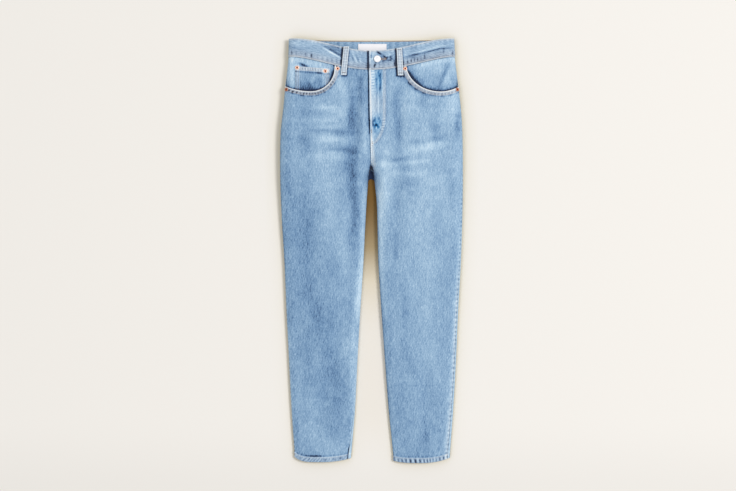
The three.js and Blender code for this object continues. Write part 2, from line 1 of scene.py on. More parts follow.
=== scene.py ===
# Straight jeans laid flat on their back, seen from above.
import math
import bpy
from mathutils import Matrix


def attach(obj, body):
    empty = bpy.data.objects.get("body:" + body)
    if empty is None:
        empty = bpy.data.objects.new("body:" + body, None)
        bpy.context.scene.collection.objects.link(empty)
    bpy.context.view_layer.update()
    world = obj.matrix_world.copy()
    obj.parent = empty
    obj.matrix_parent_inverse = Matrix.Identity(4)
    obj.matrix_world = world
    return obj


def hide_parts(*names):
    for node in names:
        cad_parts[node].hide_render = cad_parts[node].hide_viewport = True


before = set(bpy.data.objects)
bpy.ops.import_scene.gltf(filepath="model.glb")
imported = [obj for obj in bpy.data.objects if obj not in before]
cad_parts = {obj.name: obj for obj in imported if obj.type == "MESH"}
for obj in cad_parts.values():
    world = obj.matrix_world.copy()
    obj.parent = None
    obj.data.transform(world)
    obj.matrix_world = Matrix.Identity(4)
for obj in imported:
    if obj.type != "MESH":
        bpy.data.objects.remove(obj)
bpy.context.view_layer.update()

from types import SimpleNamespace

import bmesh
import bpy
import numpy as np
from mathutils import Matrix, Vector

# Lengths are in millimetres along the cloth, and a mesh is filled in metres.
mm = 0.001
garment = dict(length=1020, seamGap=0.3, cloth=1.2, waistHeight=44, waistDip=30, waistReach=198,
               frontCrotch=313, backCrotch=341, crotchHeight=3.4, seatLift=1.6, waistLift=3.6)
rightAngle = math.pi / 2
# the wearer's right is at the left of the picture
hands = ((-1, "Right"), (1, "Left"))
# how far down the lines of hems, yokes, facings and back waistband are measured
levels = dict(hem=1000, yoke=110, facing=60.0, backBand=25.0)


def mix(a, b, t):
    return a + (b - a) * t


def ease(low, high, x):
    t = np.clip((x - low) / (high - low), 0, 1)
    return t * t * (3 - 2 * t)


def between(start, full, fading, end, x):
    # rises from start to full, falls from fading to end
    return ease(start, full, x) * (1 - ease(fading, end, x))


def near(distance, reach):
    return np.exp(-(distance / reach) ** 2)


def rowsOf(names, *rows):
    return {name: np.array([row[i] for row in rows], float) for i, name in enumerate(names.split())}


def read(rows, column, down):
    # a smooth curve through one column of a table
    x, y = rows["down"], rows[column]
    last = len(x) - 1
    at = np.clip(down, x[0], x[-1])
    i = np.clip(np.searchsorted(x, at, side="right") - 1, 0, last - 1)
    low, high = np.maximum(np.arange(last + 1) - 1, 0), np.minimum(np.arange(last + 1) + 1, last)
    slope = (y[high] - y[low]) / (x[high] - x[low])
    span = x[i + 1] - x[i]
    t = (at - x[i]) / span
    return ((2 * t**3 - 3 * t**2 + 1) * y[i] + (t**3 - 2 * t**2 + t) * span * slope[i]
            + (3 * t**2 - 2 * t**3) * y[i + 1] + (t**3 - t**2) * span * slope[i + 1])


def hashed(i, j, seed):
    return np.modf(np.abs(np.sin(i * 12.9898 + j * 37.719 + seed * 78.233) * 43758.5453))[0] * 2 - 1


def ripple(x, y, seed):
    # smooth uneven waves between -1 and 1, one to a unit
    x, y = np.broadcast_arrays(np.asarray(x, float), np.asarray(y, float))
    i, j = np.floor(x), np.floor(y)
    u, v = ease(0, 1, x - i), ease(0, 1, y - j)
    low = mix(hashed(i, j, seed), hashed(i + 1, j, seed), u)
    high = mix(hashed(i, j + 1, seed), hashed(i + 1, j + 1, seed), u)
    return mix(low, high, v)


def blots(rows, amount, x, down):
    # soft long marks: across them a bell, along them a taper
    total = np.zeros(np.broadcast(x, down).shape)
    for k in range(len(rows["x"])):
        turn = math.radians(rows["lean"][k])
        dx, dy = x - rows["x"][k], down - rows["down"][k]
        across = (dx * math.cos(turn) + dy * math.sin(turn)) / rows["width"][k]
        along = (dy * math.cos(turn) - dx * math.sin(turn)) / rows["length"][k]
        total = total + rows[amount][k] * np.exp(-across**2) * np.maximum(0, 1 - along**2) ** 2
    return total


def seamWave(travel, seed, pitch=11):
    # the puckers that a shrunken seam pulls in the cloth, about 11 mm apart
    phase = travel / pitch + 0.7 * ripple(travel / 41, 0, seed)
    return np.sin(2 * math.pi * phase) * (0.7 + 0.3 * ripple(travel / 19, 0, seed + 5))


# Outline, height of the front over the surface, and how far round its edge rolls, down each side
sections = {
    -1: rowsOf("down outer loft roll",
               (0, 197.5, 26, 22), (52, 199.8, 29, 24), (110, 206.5, 31.5, 27), (165, 211.8, 32, 28),
               (225, 218.2, 32, 28), (320, 219.6, 29, 28), (425, 216.4, 23, 26), (540, 209.6, 18.5, 23),
               (650, 205.2, 17, 21), (770, 199.0, 15.5, 19), (890, 193.0, 14, 17), (1000, 185.2, 12.5, 15),
               (1020, 184.0, 12, 15)),
    1: rowsOf("down outer loft roll",
              (0, 198.0, 26, 22), (52, 201.0, 29, 24), (110, 208.2, 31.5, 27), (165, 214.5, 32, 28),
              (225, 218.4, 32, 28), (320, 219.6, 29.5, 28), (425, 218.6, 24.5, 26), (540, 215.0, 21, 24),
              (650, 208.8, 19, 22), (770, 203.6, 17, 20), (890, 196.8, 15, 18), (1000, 188.8, 13, 15),
              (1020, 187.5, 12.5, 15)),
}
# Inner edge of each leg, and how far its seams lie in from the edges on the front
legs = {
    -1: rowsOf("down inner inseamIn outseamIn",
               (313, 0.9, 0, 0), (320, 4.4, 0, 0), (329, 6.4, 0, 0), (341, 7.8, 0, 0), (392, 11.6, 0, 0),
               (450, 15.0, 0, 0), (540, 19.4, 0, 0), (650, 26.6, 0, 0), (770, 33.4, 2.6, 0),
               (890, 39.4, 6, 0), (1000, 48.8, 11, 0), (1020, 50.4, 11.5, 0)),
    1: rowsOf("down inner inseamIn outseamIn",
              (313, -0.3, 0, 0), (320, 3.4, 0, 0.6), (329, 5.6, 0, 1.4), (341, 7.0, 0, 2.5),
              (392, 12.6, 0, 6), (450, 14.4, 0, 8), (540, 16.6, 0, 8.5), (650, 23.4, 0, 9),
              (770, 32.0, 0, 9), (890, 41.0, 0, 9.5), (1000, 52.2, 0, 10), (1020, 54.0, 0, 10)),
}
# The edge of the fly, then the front rise down to the crotch
middle = rowsOf("down x", (0, -7.4), (80, -6.6), (200, -4.6), (313, -0.6))

# Largest folds of the front: troughs, or ridges where deep is below nought
folds = rowsOf("x down length lean width deep",
               (-41, 215, 175, 4, 12, 3.0), (-49, 430, 120, 0, 13, 2.0), (-22, 190, 120, -2, 9, -1.4),
               (66, 190, 110, 2, 12, 2.6), (60, 400, 110, 0, 14, 1.8), (-150, 520, 170, 0, 22, 1.8),
               (-100, 810, 200, 13, 20, 2.2), (130, 850, 150, -3, 18, 1.6), (112, 560, 180, 2, 24, 1.5),
               (-108, 95, 34, 8, 9, 1.0), (-176, 246, 46, 60, 12, 1.2), (168, 232, 44, -62, 12, 1.2),
               (150, 92, 38, -18, 10, 1.4))
# Smaller creases between them
creases = rowsOf("x down length lean width deep",
                 (-54, 128, 52, 3, 4.5, 0.9), (-33, 126, 44, -3, 5, 0.7), (-76, 132, 34, 9, 5, -0.5),
                 (41, 118, 46, 0, 4, 0.6), (82, 126, 40, 6, 5, 0.6), (18, 152, 60, 0, 4, 0.8),
                 (-82, 226, 50, 80, 7, 0.7), (-70, 262, 48, 72, 7, 0.9), (-60, 300, 40, 58, 8, 0.8),
                 (-126, 190, 44, 86, 7, 0.4), (84, 268, 50, -76, 7, 0.8), (74, 305, 46, -84, 7, 0.6),
                 (128, 206, 40, -82, 8, 0.5), (30, 330, 46, -40, 7, 0.5), (-120, 640, 60, 70, 14, 0.7),
                 (-86, 706, 55, -64, 12, 0.7), (115, 664, 60, -70, 13, 0.7), (146, 722, 50, 60, 12, 0.6),
                 (-142, 932, 45, 50, 9, 0.6), (96, 930, 60, 20, 9, 0.6), (-74, 884, 70, 8, 8, 0.6),
                 (164, 610, 70, -12, 10, 0.6), (-176, 700, 90, 6, 10, 0.6))


def frontDrop(x, down):
    waves = 0.3 * ripple(x / 42, down / 70, 3) + 0.14 * ripple(x / 15, down / 24, 8)
    return blots(folds, "deep", x, down) + blots(creases, "deep", x, down) + waves


def quarter(a, b):
    return math.pi / 4 * (3 * (a + b) - np.sqrt((3 * a + b) * (a + 3 * b)))


def section(side, down):
    # everything that one cross-section needs
    g = garment
    s = SimpleNamespace(side=side, down=np.asarray(down, float))
    s.outer, s.roll, s.loft = (read(sections[side], name, s.down) for name in ("outer", "roll", "loft"))
    s.base = mix(mix(g["waistLift"], g["seatLift"], ease(60, 105, s.down)), 0, ease(325, 385, s.down))
    s.height = (s.loft + s.base) / 2
    rising = s.down < g["frontCrotch"]
    s.legness = np.where(rising, np.clip((s.down - 235) / (g["frontCrotch"] - 235), 0, 1) ** 2, 1)
    rise = side * read(middle, "x", s.down) + g["seamGap"] * s.legness
    s.inner = np.where(rising, rise, read(legs[side], "inner", s.down))
    s.inseamIn = np.where(rising, 0, read(legs[side], "inseamIn", s.down))
    s.outseamIn = np.where(rising, 0, read(legs[side], "outseamIn", s.down))
    s.innerHeight = mix(g["crotchHeight"], s.height, ease(g["backCrotch"], 440, s.down))
    s.innerRoll = np.minimum(s.roll, 26)
    s.inSight = ease(g["backCrotch"] - 4, g["backCrotch"], s.down)
    s.innerUnder = mix(-side * 0.6, s.inner, s.inSight)
    s.underRoll = np.minimum(s.height - s.base, s.roll)
    s.underInnerRoll = np.maximum(s.innerHeight - s.base, 1.5)
    s.startFlat = s.inner + s.innerRoll
    s.innerLength = mix(s.innerRoll, quarter(s.innerRoll, s.loft - s.innerHeight), s.legness)
    s.start = s.startFlat - s.innerLength
    s.endFlat = s.outer - s.roll
    s.edge = s.endFlat + quarter(s.roll, s.loft - s.height)
    s.startUnder = s.edge + quarter(s.underRoll, s.height - s.base)
    s.endUnder = s.startUnder + (s.outer - s.underRoll) - (s.innerUnder + s.underInnerRoll)
    s.underInner = mix(s.underInnerRoll, quarter(s.underInnerRoll, s.innerHeight - s.base), s.inSight)
    s.end = s.endUnder + s.underInner
    s.seamEdge = s.edge - s.outseamIn
    s.seamInner = s.start + s.inseamIn
    stretch = s.innerLength / ((s.loft - s.innerHeight) * rightAngle)
    s.innerGap = g["seamGap"] / 2 * mix(1, stretch, s.legness)
    return s


def crown(s, q):
    overHips = (q / s.outer) ** 2
    overLeg = ((2 * q - s.inner - s.outer) / (s.outer - s.inner)) ** 2
    return 3.5 * mix(overHips, overLeg, ease(170, garment["frontCrotch"], s.down))


def skin(side, down, along):
    # a point of the skin: down from the waist, along from the front's middle round to the back's
    down, along = np.broadcast_arrays(np.asarray(down, float), np.asarray(along, float))
    s = section(side, down)
    at = np.where(along > s.end, s.start + along - s.end, along)
    bend = np.maximum(s.legness, 0.001) * rightAngle
    turnIn = np.clip((s.startFlat - at) / s.innerLength, 0, None) * bend
    turnOut = np.clip((at - s.endFlat) / (s.edge - s.endFlat), 0, 1) * rightAngle
    overInner = at < s.startFlat
    onTop = np.where(overInner, s.startFlat - s.innerRoll * np.sin(turnIn) / np.sin(bend),
                     np.where(at < s.endFlat, at, s.endFlat + s.roll * np.sin(turnOut)))
    top = s.loft - crown(s, onTop) - frontDrop(side * onTop, down)
    topHeight = np.where(overInner, s.innerHeight + (top - s.innerHeight) * np.cos(turnIn),
                         s.height + (top - s.height) * np.cos(turnOut))
    turnUnder = np.clip((at - s.edge) / (s.startUnder - s.edge), 0, 1) * rightAngle
    underBend = np.maximum(s.inSight, 0.001) * rightAngle
    turnBack = np.clip((at - s.endUnder) / s.underInner, 0, 1) * underBend
    below = s.outer - s.underRoll - (at - s.startUnder)
    back = s.innerUnder + s.underInnerRoll - s.underInnerRoll * np.sin(turnBack) / np.sin(underBend)
    parts = [at < s.edge, at < s.startUnder, at < s.endUnder]
    q = np.select(parts, [onTop, s.outer - s.underRoll + s.underRoll * np.cos(turnUnder), below], back)
    z = np.select(parts, [topHeight, s.height - (s.height - s.base) * np.sin(turnUnder), s.base],
                  s.innerHeight - (s.innerHeight - s.base) * np.cos(turnBack))
    return np.stack([side * q, garment["length"] / 2 - down, z], -1)


def reachOf(side, down, along):
    # how far from the middle a point of the skin lies
    return side * skin(side, down, along)[..., 0]


def outward(side, down, along):
    step = 0.4
    byDown = skin(side, down + step, along) - skin(side, down - step, along)
    byAlong = skin(side, down, along + step) - skin(side, down, along - step)
    normal = np.cross(byDown, byAlong) * side
    return normal / np.linalg.norm(normal, axis=-1, keepdims=True)


def overAt(side, down, q):
    s = section(side, down)
    turn = np.arcsin(np.clip((q - s.endFlat) / s.roll, 0, 1))
    return np.where(q < s.endFlat, q, s.endFlat + (s.edge - s.endFlat) * turn / rightAngle)


def underAt(side, down, q):
    s = section(side, down)
    return s.startUnder + (s.outer - s.underRoll) - q


def evenly(level):
    # the same level at every point
    return lambda side, down, along: np.full(np.broadcast(down, along).shape, float(level))


# Seam lines
def dipShare(q, power):
    return np.cos(rightAngle * np.clip(np.abs(q) / garment["waistReach"], 0, 1)) ** power


def waistTop(side, q):
    return garment["waistDip"] * dipShare(q, {-1: 2.2, 1: 1.85}[side])


def waistSeam(side, q):
    return garment["waistHeight"] + (garment["waistDip"] + 2) * dipShare(q, {-1: 1.65, 1: 1.45}[side])


def backWaistSeam(q):
    return garment["waistHeight"] + 5 * dipShare(q, 2)


def yokeSeam(q):
    return mix(128, 86, np.clip(q / 200, 0, 1))


hems = {-1: dict(lowest=1018, innerRise=9, innerPower=2, outerRise=12, outerPower=5),
        1: dict(lowest=1020, innerRise=5, innerPower=4, outerRise=12, outerPower=2.2)}


def hemLine(side, q, lift=0):
    s = section(side, levels["hem"])
    hem = hems[side]
    part = np.clip((2 * q - s.inner - s.outer) / (s.outer - s.inner), -1, 1)
    inner = (hem["innerRise"] - lift) * np.maximum(-part, 0) ** hem["innerPower"]
    outer = (hem["outerRise"] - lift) * np.maximum(part, 0) ** hem["outerPower"]
    return hem["lowest"] - lift - inner - outer


pockets = {-1: dict(middle=145, top=71, reach=57, depth=57, side=115),
           1: dict(middle=165, top=62, reach=82, depth=66.4, side=116)}
for side, pocket in pockets.items():
    share = (pocket["side"] - pocket["top"]) / pocket["depth"]
    outer = float(read(sections[side], "outer", pocket["side"]))
    pocket["sideReach"] = (outer - pocket["middle"]) / math.sqrt(1 - share**2)


def fromPocket(side, down, q):
    # how far outside a pocket's opening a point lies, below nought inside it
    pocket = pockets[side]
    reach = np.where(q < pocket["middle"], pocket["reach"], pocket["sideReach"])
    x = (q - pocket["middle"]) / reach
    y = np.maximum(down - pocket["top"], 0) / pocket["depth"]
    r = np.maximum(np.hypot(x, y), 1e-6)
    return (r - 1) * np.hypot(x * reach, y * pocket["depth"]) / r


# Shader sums written as sums: a wire is a socket's output
class Wire:
    def __init__(self, paint, socket):
        self.paint, self.socket = paint, socket

    def sum(self, operation, first, second):
        return self.paint.node("ShaderNodeMath", {"operation": operation}, {0: first, 1: second})

    def __add__(self, other):
        return self.sum("ADD", self, other)

    def __sub__(self, other):
        return self.sum("SUBTRACT", self, other)

    def __rsub__(self, other):
        return self.sum("SUBTRACT", other, self)

    def __mul__(self, other):
        return self.sum("MULTIPLY", self, other)

    __radd__ = __add__
    __rmul__ = __mul__


def shade(red, green, blue):
    # a colour as a paint chart has it, out of 255
    linear = [((c / 255 + 0.055) / 1.055) ** 2.4 if c > 10 else c / 255 / 12.92 for c in (red, green, blue)]
    return (*linear, 1.0)


class Paint:
    def __init__(self, name, **fixed):
        self.material = bpy.data.materials.new(name)
        self.material.use_nodes = True
        self.tree = self.material.node_tree
        self.tree.nodes.clear()
        output = self.tree.nodes.new("ShaderNodeOutputMaterial")
        self.shader = self.tree.nodes.new("ShaderNodeBsdfPrincipled")
        self.tree.links.new(self.shader.outputs["BSDF"], output.inputs["Surface"])
        for socket, value in fixed.items():
            self.set(socket.replace("_", " "), value)

    def put(self, socket, value):
        if isinstance(value, Wire):
            self.tree.links.new(value.socket, socket)
        else:
            socket.default_value = value

    def set(self, name, value):
        self.put(self.shader.inputs[name], value)

    def node(self, kind, settings=None, values=None, output=0):
        made = self.tree.nodes.new(kind)
        for name, value in (settings or {}).items():
            setattr(made, name, value)
        for name, value in (values or {}).items():
            self.put(made.inputs[name], value)
        return Wire(self, made.outputs[output])

    def noise(self, vector, width, length, detail, seed):
        # grains of the given size in millimetres
        scaled = self.node("ShaderNodeMapping", None, {
            "Vector": vector, "Location": (seed, seed * 1.7, 0),
            "Scale": (1 / (width * mm), 1 / (length * mm), 1)})
        return self.node("ShaderNodeTexNoise", {"noise_dimensions": "2D"}, {
            "Vector": scaled, "Scale": 1.0, "Detail": detail, "Roughness": 0.55})

    def speckle(self, vector, scale, detail):
        return self.node("ShaderNodeTexNoise", None, {"Vector": vector, "Scale": scale, "Detail": detail})

    def ramp(self, level, *stops):
        made = self.node("ShaderNodeValToRGB", None, {"Fac": level})
        elements = made.socket.node.color_ramp.elements
        while len(elements) < len(stops):
            elements.new(0.5)
        for element, (position, colour) in zip(elements, stops):
            element.position, element.color = position, shade(*colour)
        return made

    def smooth(self, value, low, high):
        return self.node("ShaderNodeMapRange", {"interpolation_type": "SMOOTHSTEP"}, {
            "Value": value, "From Min": low, "From Max": high})

    def painted(self, name):
        # a number painted on the points of a mesh
        return self.node("ShaderNodeAttribute", {"attribute_name": name}, output=2)

    def bumped(self, height, strength, distance):
        self.set("Normal", self.node("ShaderNodeBump", None, {
            "Height": height, "Strength": strength, "Distance": distance}))


# How far apart a band texture's lines lie, as its own scale counts them
def lineScale(pitch):
    return 1 / (pitch * mm) / 20


denimLook = dict(ink=(24, 40, 68), deep=(48, 74, 110), dark=(97, 132, 169), middle=(143, 174, 201),
                 light=(184, 209, 227), worn=(221, 230, 235), slub=0.46, grain=0.36, drift=0.24, cloud=0.08,
                 fleck=0.24, twill=0.04, twillPitch=0.85, greyed=0.5, roughness=0.86)
denimStops = ((0.0, "ink"), (0.08, "deep"), (0.25, "dark"), (0.5, "middle"), (0.75, "light"), (1.0, "worn"))


def denimPaint(name, tone=0.0, shaded=False):
    look = denimLook
    paint = Paint(name, Roughness=look["roughness"], Sheen_Weight=0.12, Sheen_Roughness=0.5,
                  Specular_IOR_Level=0.25)
    cloth = paint.node("ShaderNodeUVMap", {"uv_map": "cloth"})
    wash, bare = paint.painted("wash"), paint.painted("bare")
    slub = paint.noise(cloth, 1.3, 11, 2.0, 3.1) - 0.5
    grain = paint.noise(cloth, 2.6, 4.2, 3.0, 7.7) - 0.5
    drift = paint.noise(cloth, 4.2, 24, 2.0, 9.4) - 0.5
    fleck = paint.noise(cloth, 0.7, 1.6, 1.0, 1.3) - 0.5
    cloud = paint.noise(cloth, 38, 60, 2.0, 5.2) - 0.5
    turned = paint.node("ShaderNodeMapping", None, {"Vector": cloth, "Rotation": (0, 0, math.radians(28))})
    lines = paint.node("ShaderNodeTexWave", {"wave_type": "BANDS", "bands_direction": "X"}, {
        "Vector": turned, "Scale": lineScale(look["twillPitch"]), "Distortion": 1.2, "Detail": 1.0,
        "Detail Scale": 2.0}, 1)
    # the wash attribute holds the wash together with painted shade and painted highlights
    level = (wash * 0.5 + slub * look["slub"] + grain * look["grain"] + cloud * look["cloud"]
             + drift * look["drift"] + fleck * look["fleck"] + (lines - 0.5) * look["twill"] + (0.5 + tone))
    # painted shade, read from the points, on the inner faces in the slot between the thighs
    if shaded:
        level = level - paint.painted("shaded") * 0.5
    dyed = paint.ramp(level, *((position, look[stop]) for position, stop in denimStops))
    paint.set("Base Color", paint.node("ShaderNodeHueSaturation", None, {
        "Color": dyed, "Saturation": 1 - bare * look["greyed"]}))
    paint.bumped(slub * 0.35 + grain * 0.3 + lines * 0.25 + fleck * 0.3, 0.55, 0.0005)
    return paint.material


def threadPaint(name, colour, shadow):
    paint = Paint(name, Roughness=0.6, Sheen_Weight=0.2, Specular_IOR_Level=0.35)
    place = paint.node("ShaderNodeTexCoord", output=3)
    noise = paint.speckle(place, 900.0, 2.0)
    paint.set("Base Color", paint.ramp(noise, (0.3, shadow), (0.6, colour)))
    paint.bumped(noise, 0.5, 0.0002)
    return paint.material


def metalPaint(name, colour, worn, roughness, metallic=1.0):
    paint = Paint(name, Metallic=metallic)
    place = paint.node("ShaderNodeTexCoord", output=3)
    cloud, scratch = paint.speckle(place, 420.0, 4.0), paint.speckle(place, 2600.0, 2.0)
    paint.set("Base Color", paint.ramp(cloud, (0.35, worn), (0.62, colour)))
    paint.set("Roughness", cloud * 0.2 + scratch * 0.1 + (roughness - 0.15))
    paint.bumped(scratch, 0.15, 0.0001)
    return paint.material


def labelPaint():
    paint = Paint("wovenTape", Roughness=0.7, Sheen_Weight=0.3, Specular_IOR_Level=0.3)
    cloth = paint.node("ShaderNodeUVMap", {"uv_map": "cloth"})
    weave = paint.node("ShaderNodeTexWave", {"bands_direction": "Y"}, {
        "Vector": cloth, "Scale": lineScale(0.5), "Distortion": 0.6}, 1)
    grain = paint.noise(cloth, 0.5, 4, 2.0, 2.2)
    tape = paint.ramp(weave * 0.4 + grain * 0.6, (0.2, (226, 226, 229)), (0.8, (246, 246, 249)))
    paint.set("Base Color", tape)
    paint.bumped(weave, 0.4, 0.0002)
    return paint.material


def floorPaint():
    paint = Paint("paleFloor", Roughness=0.9, Specular_IOR_Level=0.1)
    # painted shade: close to the garment, where less of the room reaches it, the floor's colour turns darker
    # and warmer
    around = paint.node("ShaderNodeAmbientOcclusion", {"samples": 12}, {"Distance": 0.042}, 1)
    shadedPaper = paint.ramp(around, (0.3, (215, 199, 153)), (0.6, (222, 215, 197)), (1.0, (228, 226, 221)))
    place = paint.node("ShaderNodeTexCoord", output=3)
    across = paint.node("ShaderNodeSeparateXYZ", None, {"Vector": place})
    upward = paint.node("ShaderNodeSeparateXYZ", None, {"Vector": place}, 1)
    # and painted shadow, dark and golden, on the floor in the narrow gap between the legs below the crotch
    narrow = paint.smooth(paint.node("ShaderNodeMath", {"operation": "ABSOLUTE"}, {0: across}), 0.045, 0.025)
    gap = narrow * paint.smooth(upward, 0.30, 0.24) * paint.smooth(upward, -0.52, -0.38)
    shadow = paint.ramp(paint.smooth(upward, -0.22, 0.15), (0.0, (224, 220, 212)), (0.35, (213, 204, 184)),
                        (0.676, (161, 143, 110)), (1.0, (113, 85, 43)))
    mixed = paint.node("ShaderNodeMix", {"data_type": "RGBA"}, {"Factor": gap, "A": shadedPaper, "B": shadow}, 2)
    # painted shade: the floor is slightly darker towards the bottom
    paint.set("Base Color", paint.node("ShaderNodeHueSaturation", None, {
        "Color": mixed, "Value": 1 - paint.smooth(upward, -0.40, -0.60) * 0.05}))
    return paint.material


# the inside material is the denim a touch darker, as painted shade, for the pocket facings and the inside of
# the back waistband, which lie in recesses
paints = dict(denim=denimPaint("denim"), inside=denimPaint("denimInsideShade", -0.03), tape=labelPaint(),
              slot=denimPaint("denimSlotShade", shaded=True),
              thread=threadPaint("seamThread", (196, 176, 164), (150, 132, 126)),
              tack=threadPaint("tackThread", (132, 116, 108), (84, 74, 74)),
              binding=threadPaint("bindingThread", (190, 168, 148), (150, 128, 112)),
              slit=threadPaint("slitShadow", (44, 52, 74), (30, 36, 54)),
              steel=metalPaint("buttonMetal", (246, 246, 248), (222, 224, 229), 0.42, 0.25),
              copper=metalPaint("rivetCopper", (250, 206, 184), (240, 182, 156), 0.42, 0.6),
              copperDull=metalPaint("rivetDull", (206, 144, 116), (176, 114, 92), 0.5, 0.6),
              copperDark=metalPaint("rivetCentre", (120, 66, 54), (88, 46, 40), 0.55))
print("materials mixed")


def nodeOf(name):
    # the piece frontRight stands for the node front_right
    return "".join("_" + letter.lower() if letter.isupper() else letter for letter in name)


def asPiece(name, bm, materials, nodes=()):
    # turns a bmesh into a finished piece of the one body
    mesh = bpy.data.meshes.new(name)
    bm.to_mesh(mesh)
    bm.free()
    mesh.polygons.foreach_set("use_smooth", [True] * len(mesh.polygons))
    for material in materials:
        mesh.materials.append(material)
    piece = bpy.data.objects.new(name, mesh)
    bpy.context.collection.objects.link(piece)
    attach(piece, "root")
    if nodes:
        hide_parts(*nodes)
    return piece


def paintPoints(made, **painted):
    for name, values in painted.items():
        layer = made.data.attributes.new(name, "FLOAT", "POINT")
        layer.data.foreach_set("value", np.asarray(values, np.float32))


def thicken(made, thick):
    wall = made.modifiers.new("wall", "SOLIDIFY")
    wall.thickness, wall.offset = thick * mm, -1
    return wall


def gridOf(columns, rows):
    bm = bmesh.new()
    bmesh.ops.create_grid(bm, x_segments=columns, y_segments=rows, size=0.5)
    return bm, bm.loops.layers.uv.new("cloth")


def clothSheet(piece, side, columns, rows, place, out, wash, grain="down", bare=None, shaded=None):
    # a sheet of cloth over a grid, its outer face moved out from the skin and its wash, with painted shade,
    # painted on its points
    bm, layer = gridOf(columns, rows)
    plan = np.array([v.co[:2] for v in bm.verts])
    share = (plan - plan.min(0)) / (plan.max(0) - plan.min(0))
    across, lower = share[:, 0], 1 - share[:, 1]
    sides = side * np.ones(len(plan)) if np.isscalar(side) else side(across)
    points, flat = np.zeros((len(plan), 3)), np.zeros((len(plan), 2))
    painted = {name: np.zeros(len(plan)) for name in ("wash", "bare", "shaded")}
    for half in (-1, 1):
        chosen = sides == half
        if not chosen.any():
            continue
        down, along = place(half, lower[chosen], across[chosen])
        raised = out(half, down, along)
        points[chosen] = skin(half, down, along) + outward(half, down, along) * raised[..., None]
        flat[chosen] = np.stack([half * along, -down] if grain == "down" else [down, half * along], -1)
        for name, level in (("wash", wash), ("bare", bare), ("shaded", shaded)):
            if level:
                painted[name][chosen] = level(half, down, along)
    if piece.get("midline"):
        points[np.abs(across - 0.5) < 1e-4, 0] = 0
    for vertex, point in zip(bm.verts, points):
        vertex.co = point * mm
    for face in bm.faces:
        for corner in face.loops:
            corner[layer].uv = flat[corner.vert.index] * mm
    if piece.get("reversed", side == -1):
        bmesh.ops.reverse_faces(bm, faces=bm.faces[:])
    area = sum(face.calc_area() for face in bm.faces)
    faces = [paints[piece.get("paint", "denim")]] + ([paints["slot"]] if shaded else [])
    made = asPiece(piece["name"], bm, faces, [nodeOf(piece["name"])])
    paintPoints(made, **painted)
    wall = thicken(made, piece.get("thick", garment["cloth"]))
    wall.material_offset = wall.material_offset_rim = 1 if shaded else 0
    if piece.get("rounded"):
        edge = made.modifiers.new("edge", "BEVEL")
        edge.width, edge.segments = piece["rounded"] * mm, 2
        edge.limit_method, edge.angle_limit = "ANGLE", 0.9
    print(f"{piece['name']}: {area:.4f} square metres of cloth, declared {piece['area']}")


def flatSheet(name, columns, rows, place, material, slot, node, thick, turned=False, **painted):
    # a small sheet over a flat grid, with its own plan as its map
    bm, layer = gridOf(columns, rows)
    for vertex in bm.verts:
        vertex.co = Vector(place(*vertex.co.xy)) * mm
    for face in bm.faces:
        for corner in face.loops:
            corner[layer].uv = corner.vert.co.xy
    if turned:
        bmesh.ops.reverse_faces(bm, faces=bm.faces[:])
    spots = [vertex.co / mm for vertex in bm.verts]
    made = asPiece(name, bm, [material], [node])
    paintPoints(made, **{key: [level(spot) for spot in spots] for key, level in painted.items()})
    thicken(made, thick)
    return made


# Thread: each stitch is one small bead of a few faces
stitch = dict(pitch=3.3, length=2.7, width=0.62, height=0.46, sunk=0.14, span=0.6)


def sewRow(bm, points, normals, across=False, **change):
    use = {**stitch, **change}
    step = np.r_[0, np.cumsum(np.linalg.norm(np.diff(points, axis=0), axis=1))]
    count = max(1, round(step[-1] / use["pitch"]))
    for k in range(count):
        middleAt = (k + 0.5) * step[-1] / count
        low, high = max(middleAt - use["span"], 0), min(middleAt + use["span"], step[-1])
        at = [np.array([np.interp(t, step, points[:, i]) for i in range(3)]) for t in (low, middleAt, high)]
        up = np.array([np.interp(middleAt, step, normals[:, i]) for i in range(3)])
        ahead = (at[2] - at[0]) / np.linalg.norm(at[2] - at[0])
        up = up - ahead * np.dot(up, ahead)
        up /= np.linalg.norm(up)
        beside = np.cross(up, ahead)
        if across:
            ahead, beside = beside, ahead
        centre = at[1] + up * (use["height"] / 2 - use["sunk"])
        bead = Matrix.Identity(4)
        axes = ((ahead, use["length"]), (beside, use["width"]), (up, use["height"]))
        for i, (axis, size) in enumerate(axes):
            bead.col[i] = (*(axis * size / 2 * mm), 0)
        bead.col[3] = (*(centre * mm), 1)
        bmesh.ops.create_icosphere(bm, subdivisions=1, radius=1, matrix=bead)


def rowOnSkin(bm, side, down, along, out, **change):
    down, along = np.broadcast_arrays(np.asarray(down, float), np.asarray(along, float))
    normals = outward(side, down, along)
    points = skin(side, down, along) + normals * out(side, down, along)[..., None]
    sewRow(bm, points, normals, **change)


# Fronts, with the belt loops that cross them
loop = dict(width=13, thick=2.2, bow=1.6, rounded=0.5)
frontLoops = {-1: dict(name="beltLoopFrontRight", topQ=60, bottomQ=66.6, top=20.5, bottom=89),
              1: dict(name="beltLoopFrontLeft", topQ=66.6, bottomQ=69.6, top=24.5, bottom=90)}
frontPanel = dict(columns=108, rows=(50, 270, 22), flyWidth=34, flyStraight=180, flyEnd=255, flyOut=0.9,
                  band=10, bandOut=0.7, topEnd=170, hemHeight=12.5, hemOut=1.0, hemZone=30, waistColumns=7,
                  pocketColumns=5, sideColumns=6, innerColumns=4, outerColumns=4)
frontWidth = frontPanel["waistColumns"] + frontPanel["pocketColumns"] + frontPanel["sideColumns"]


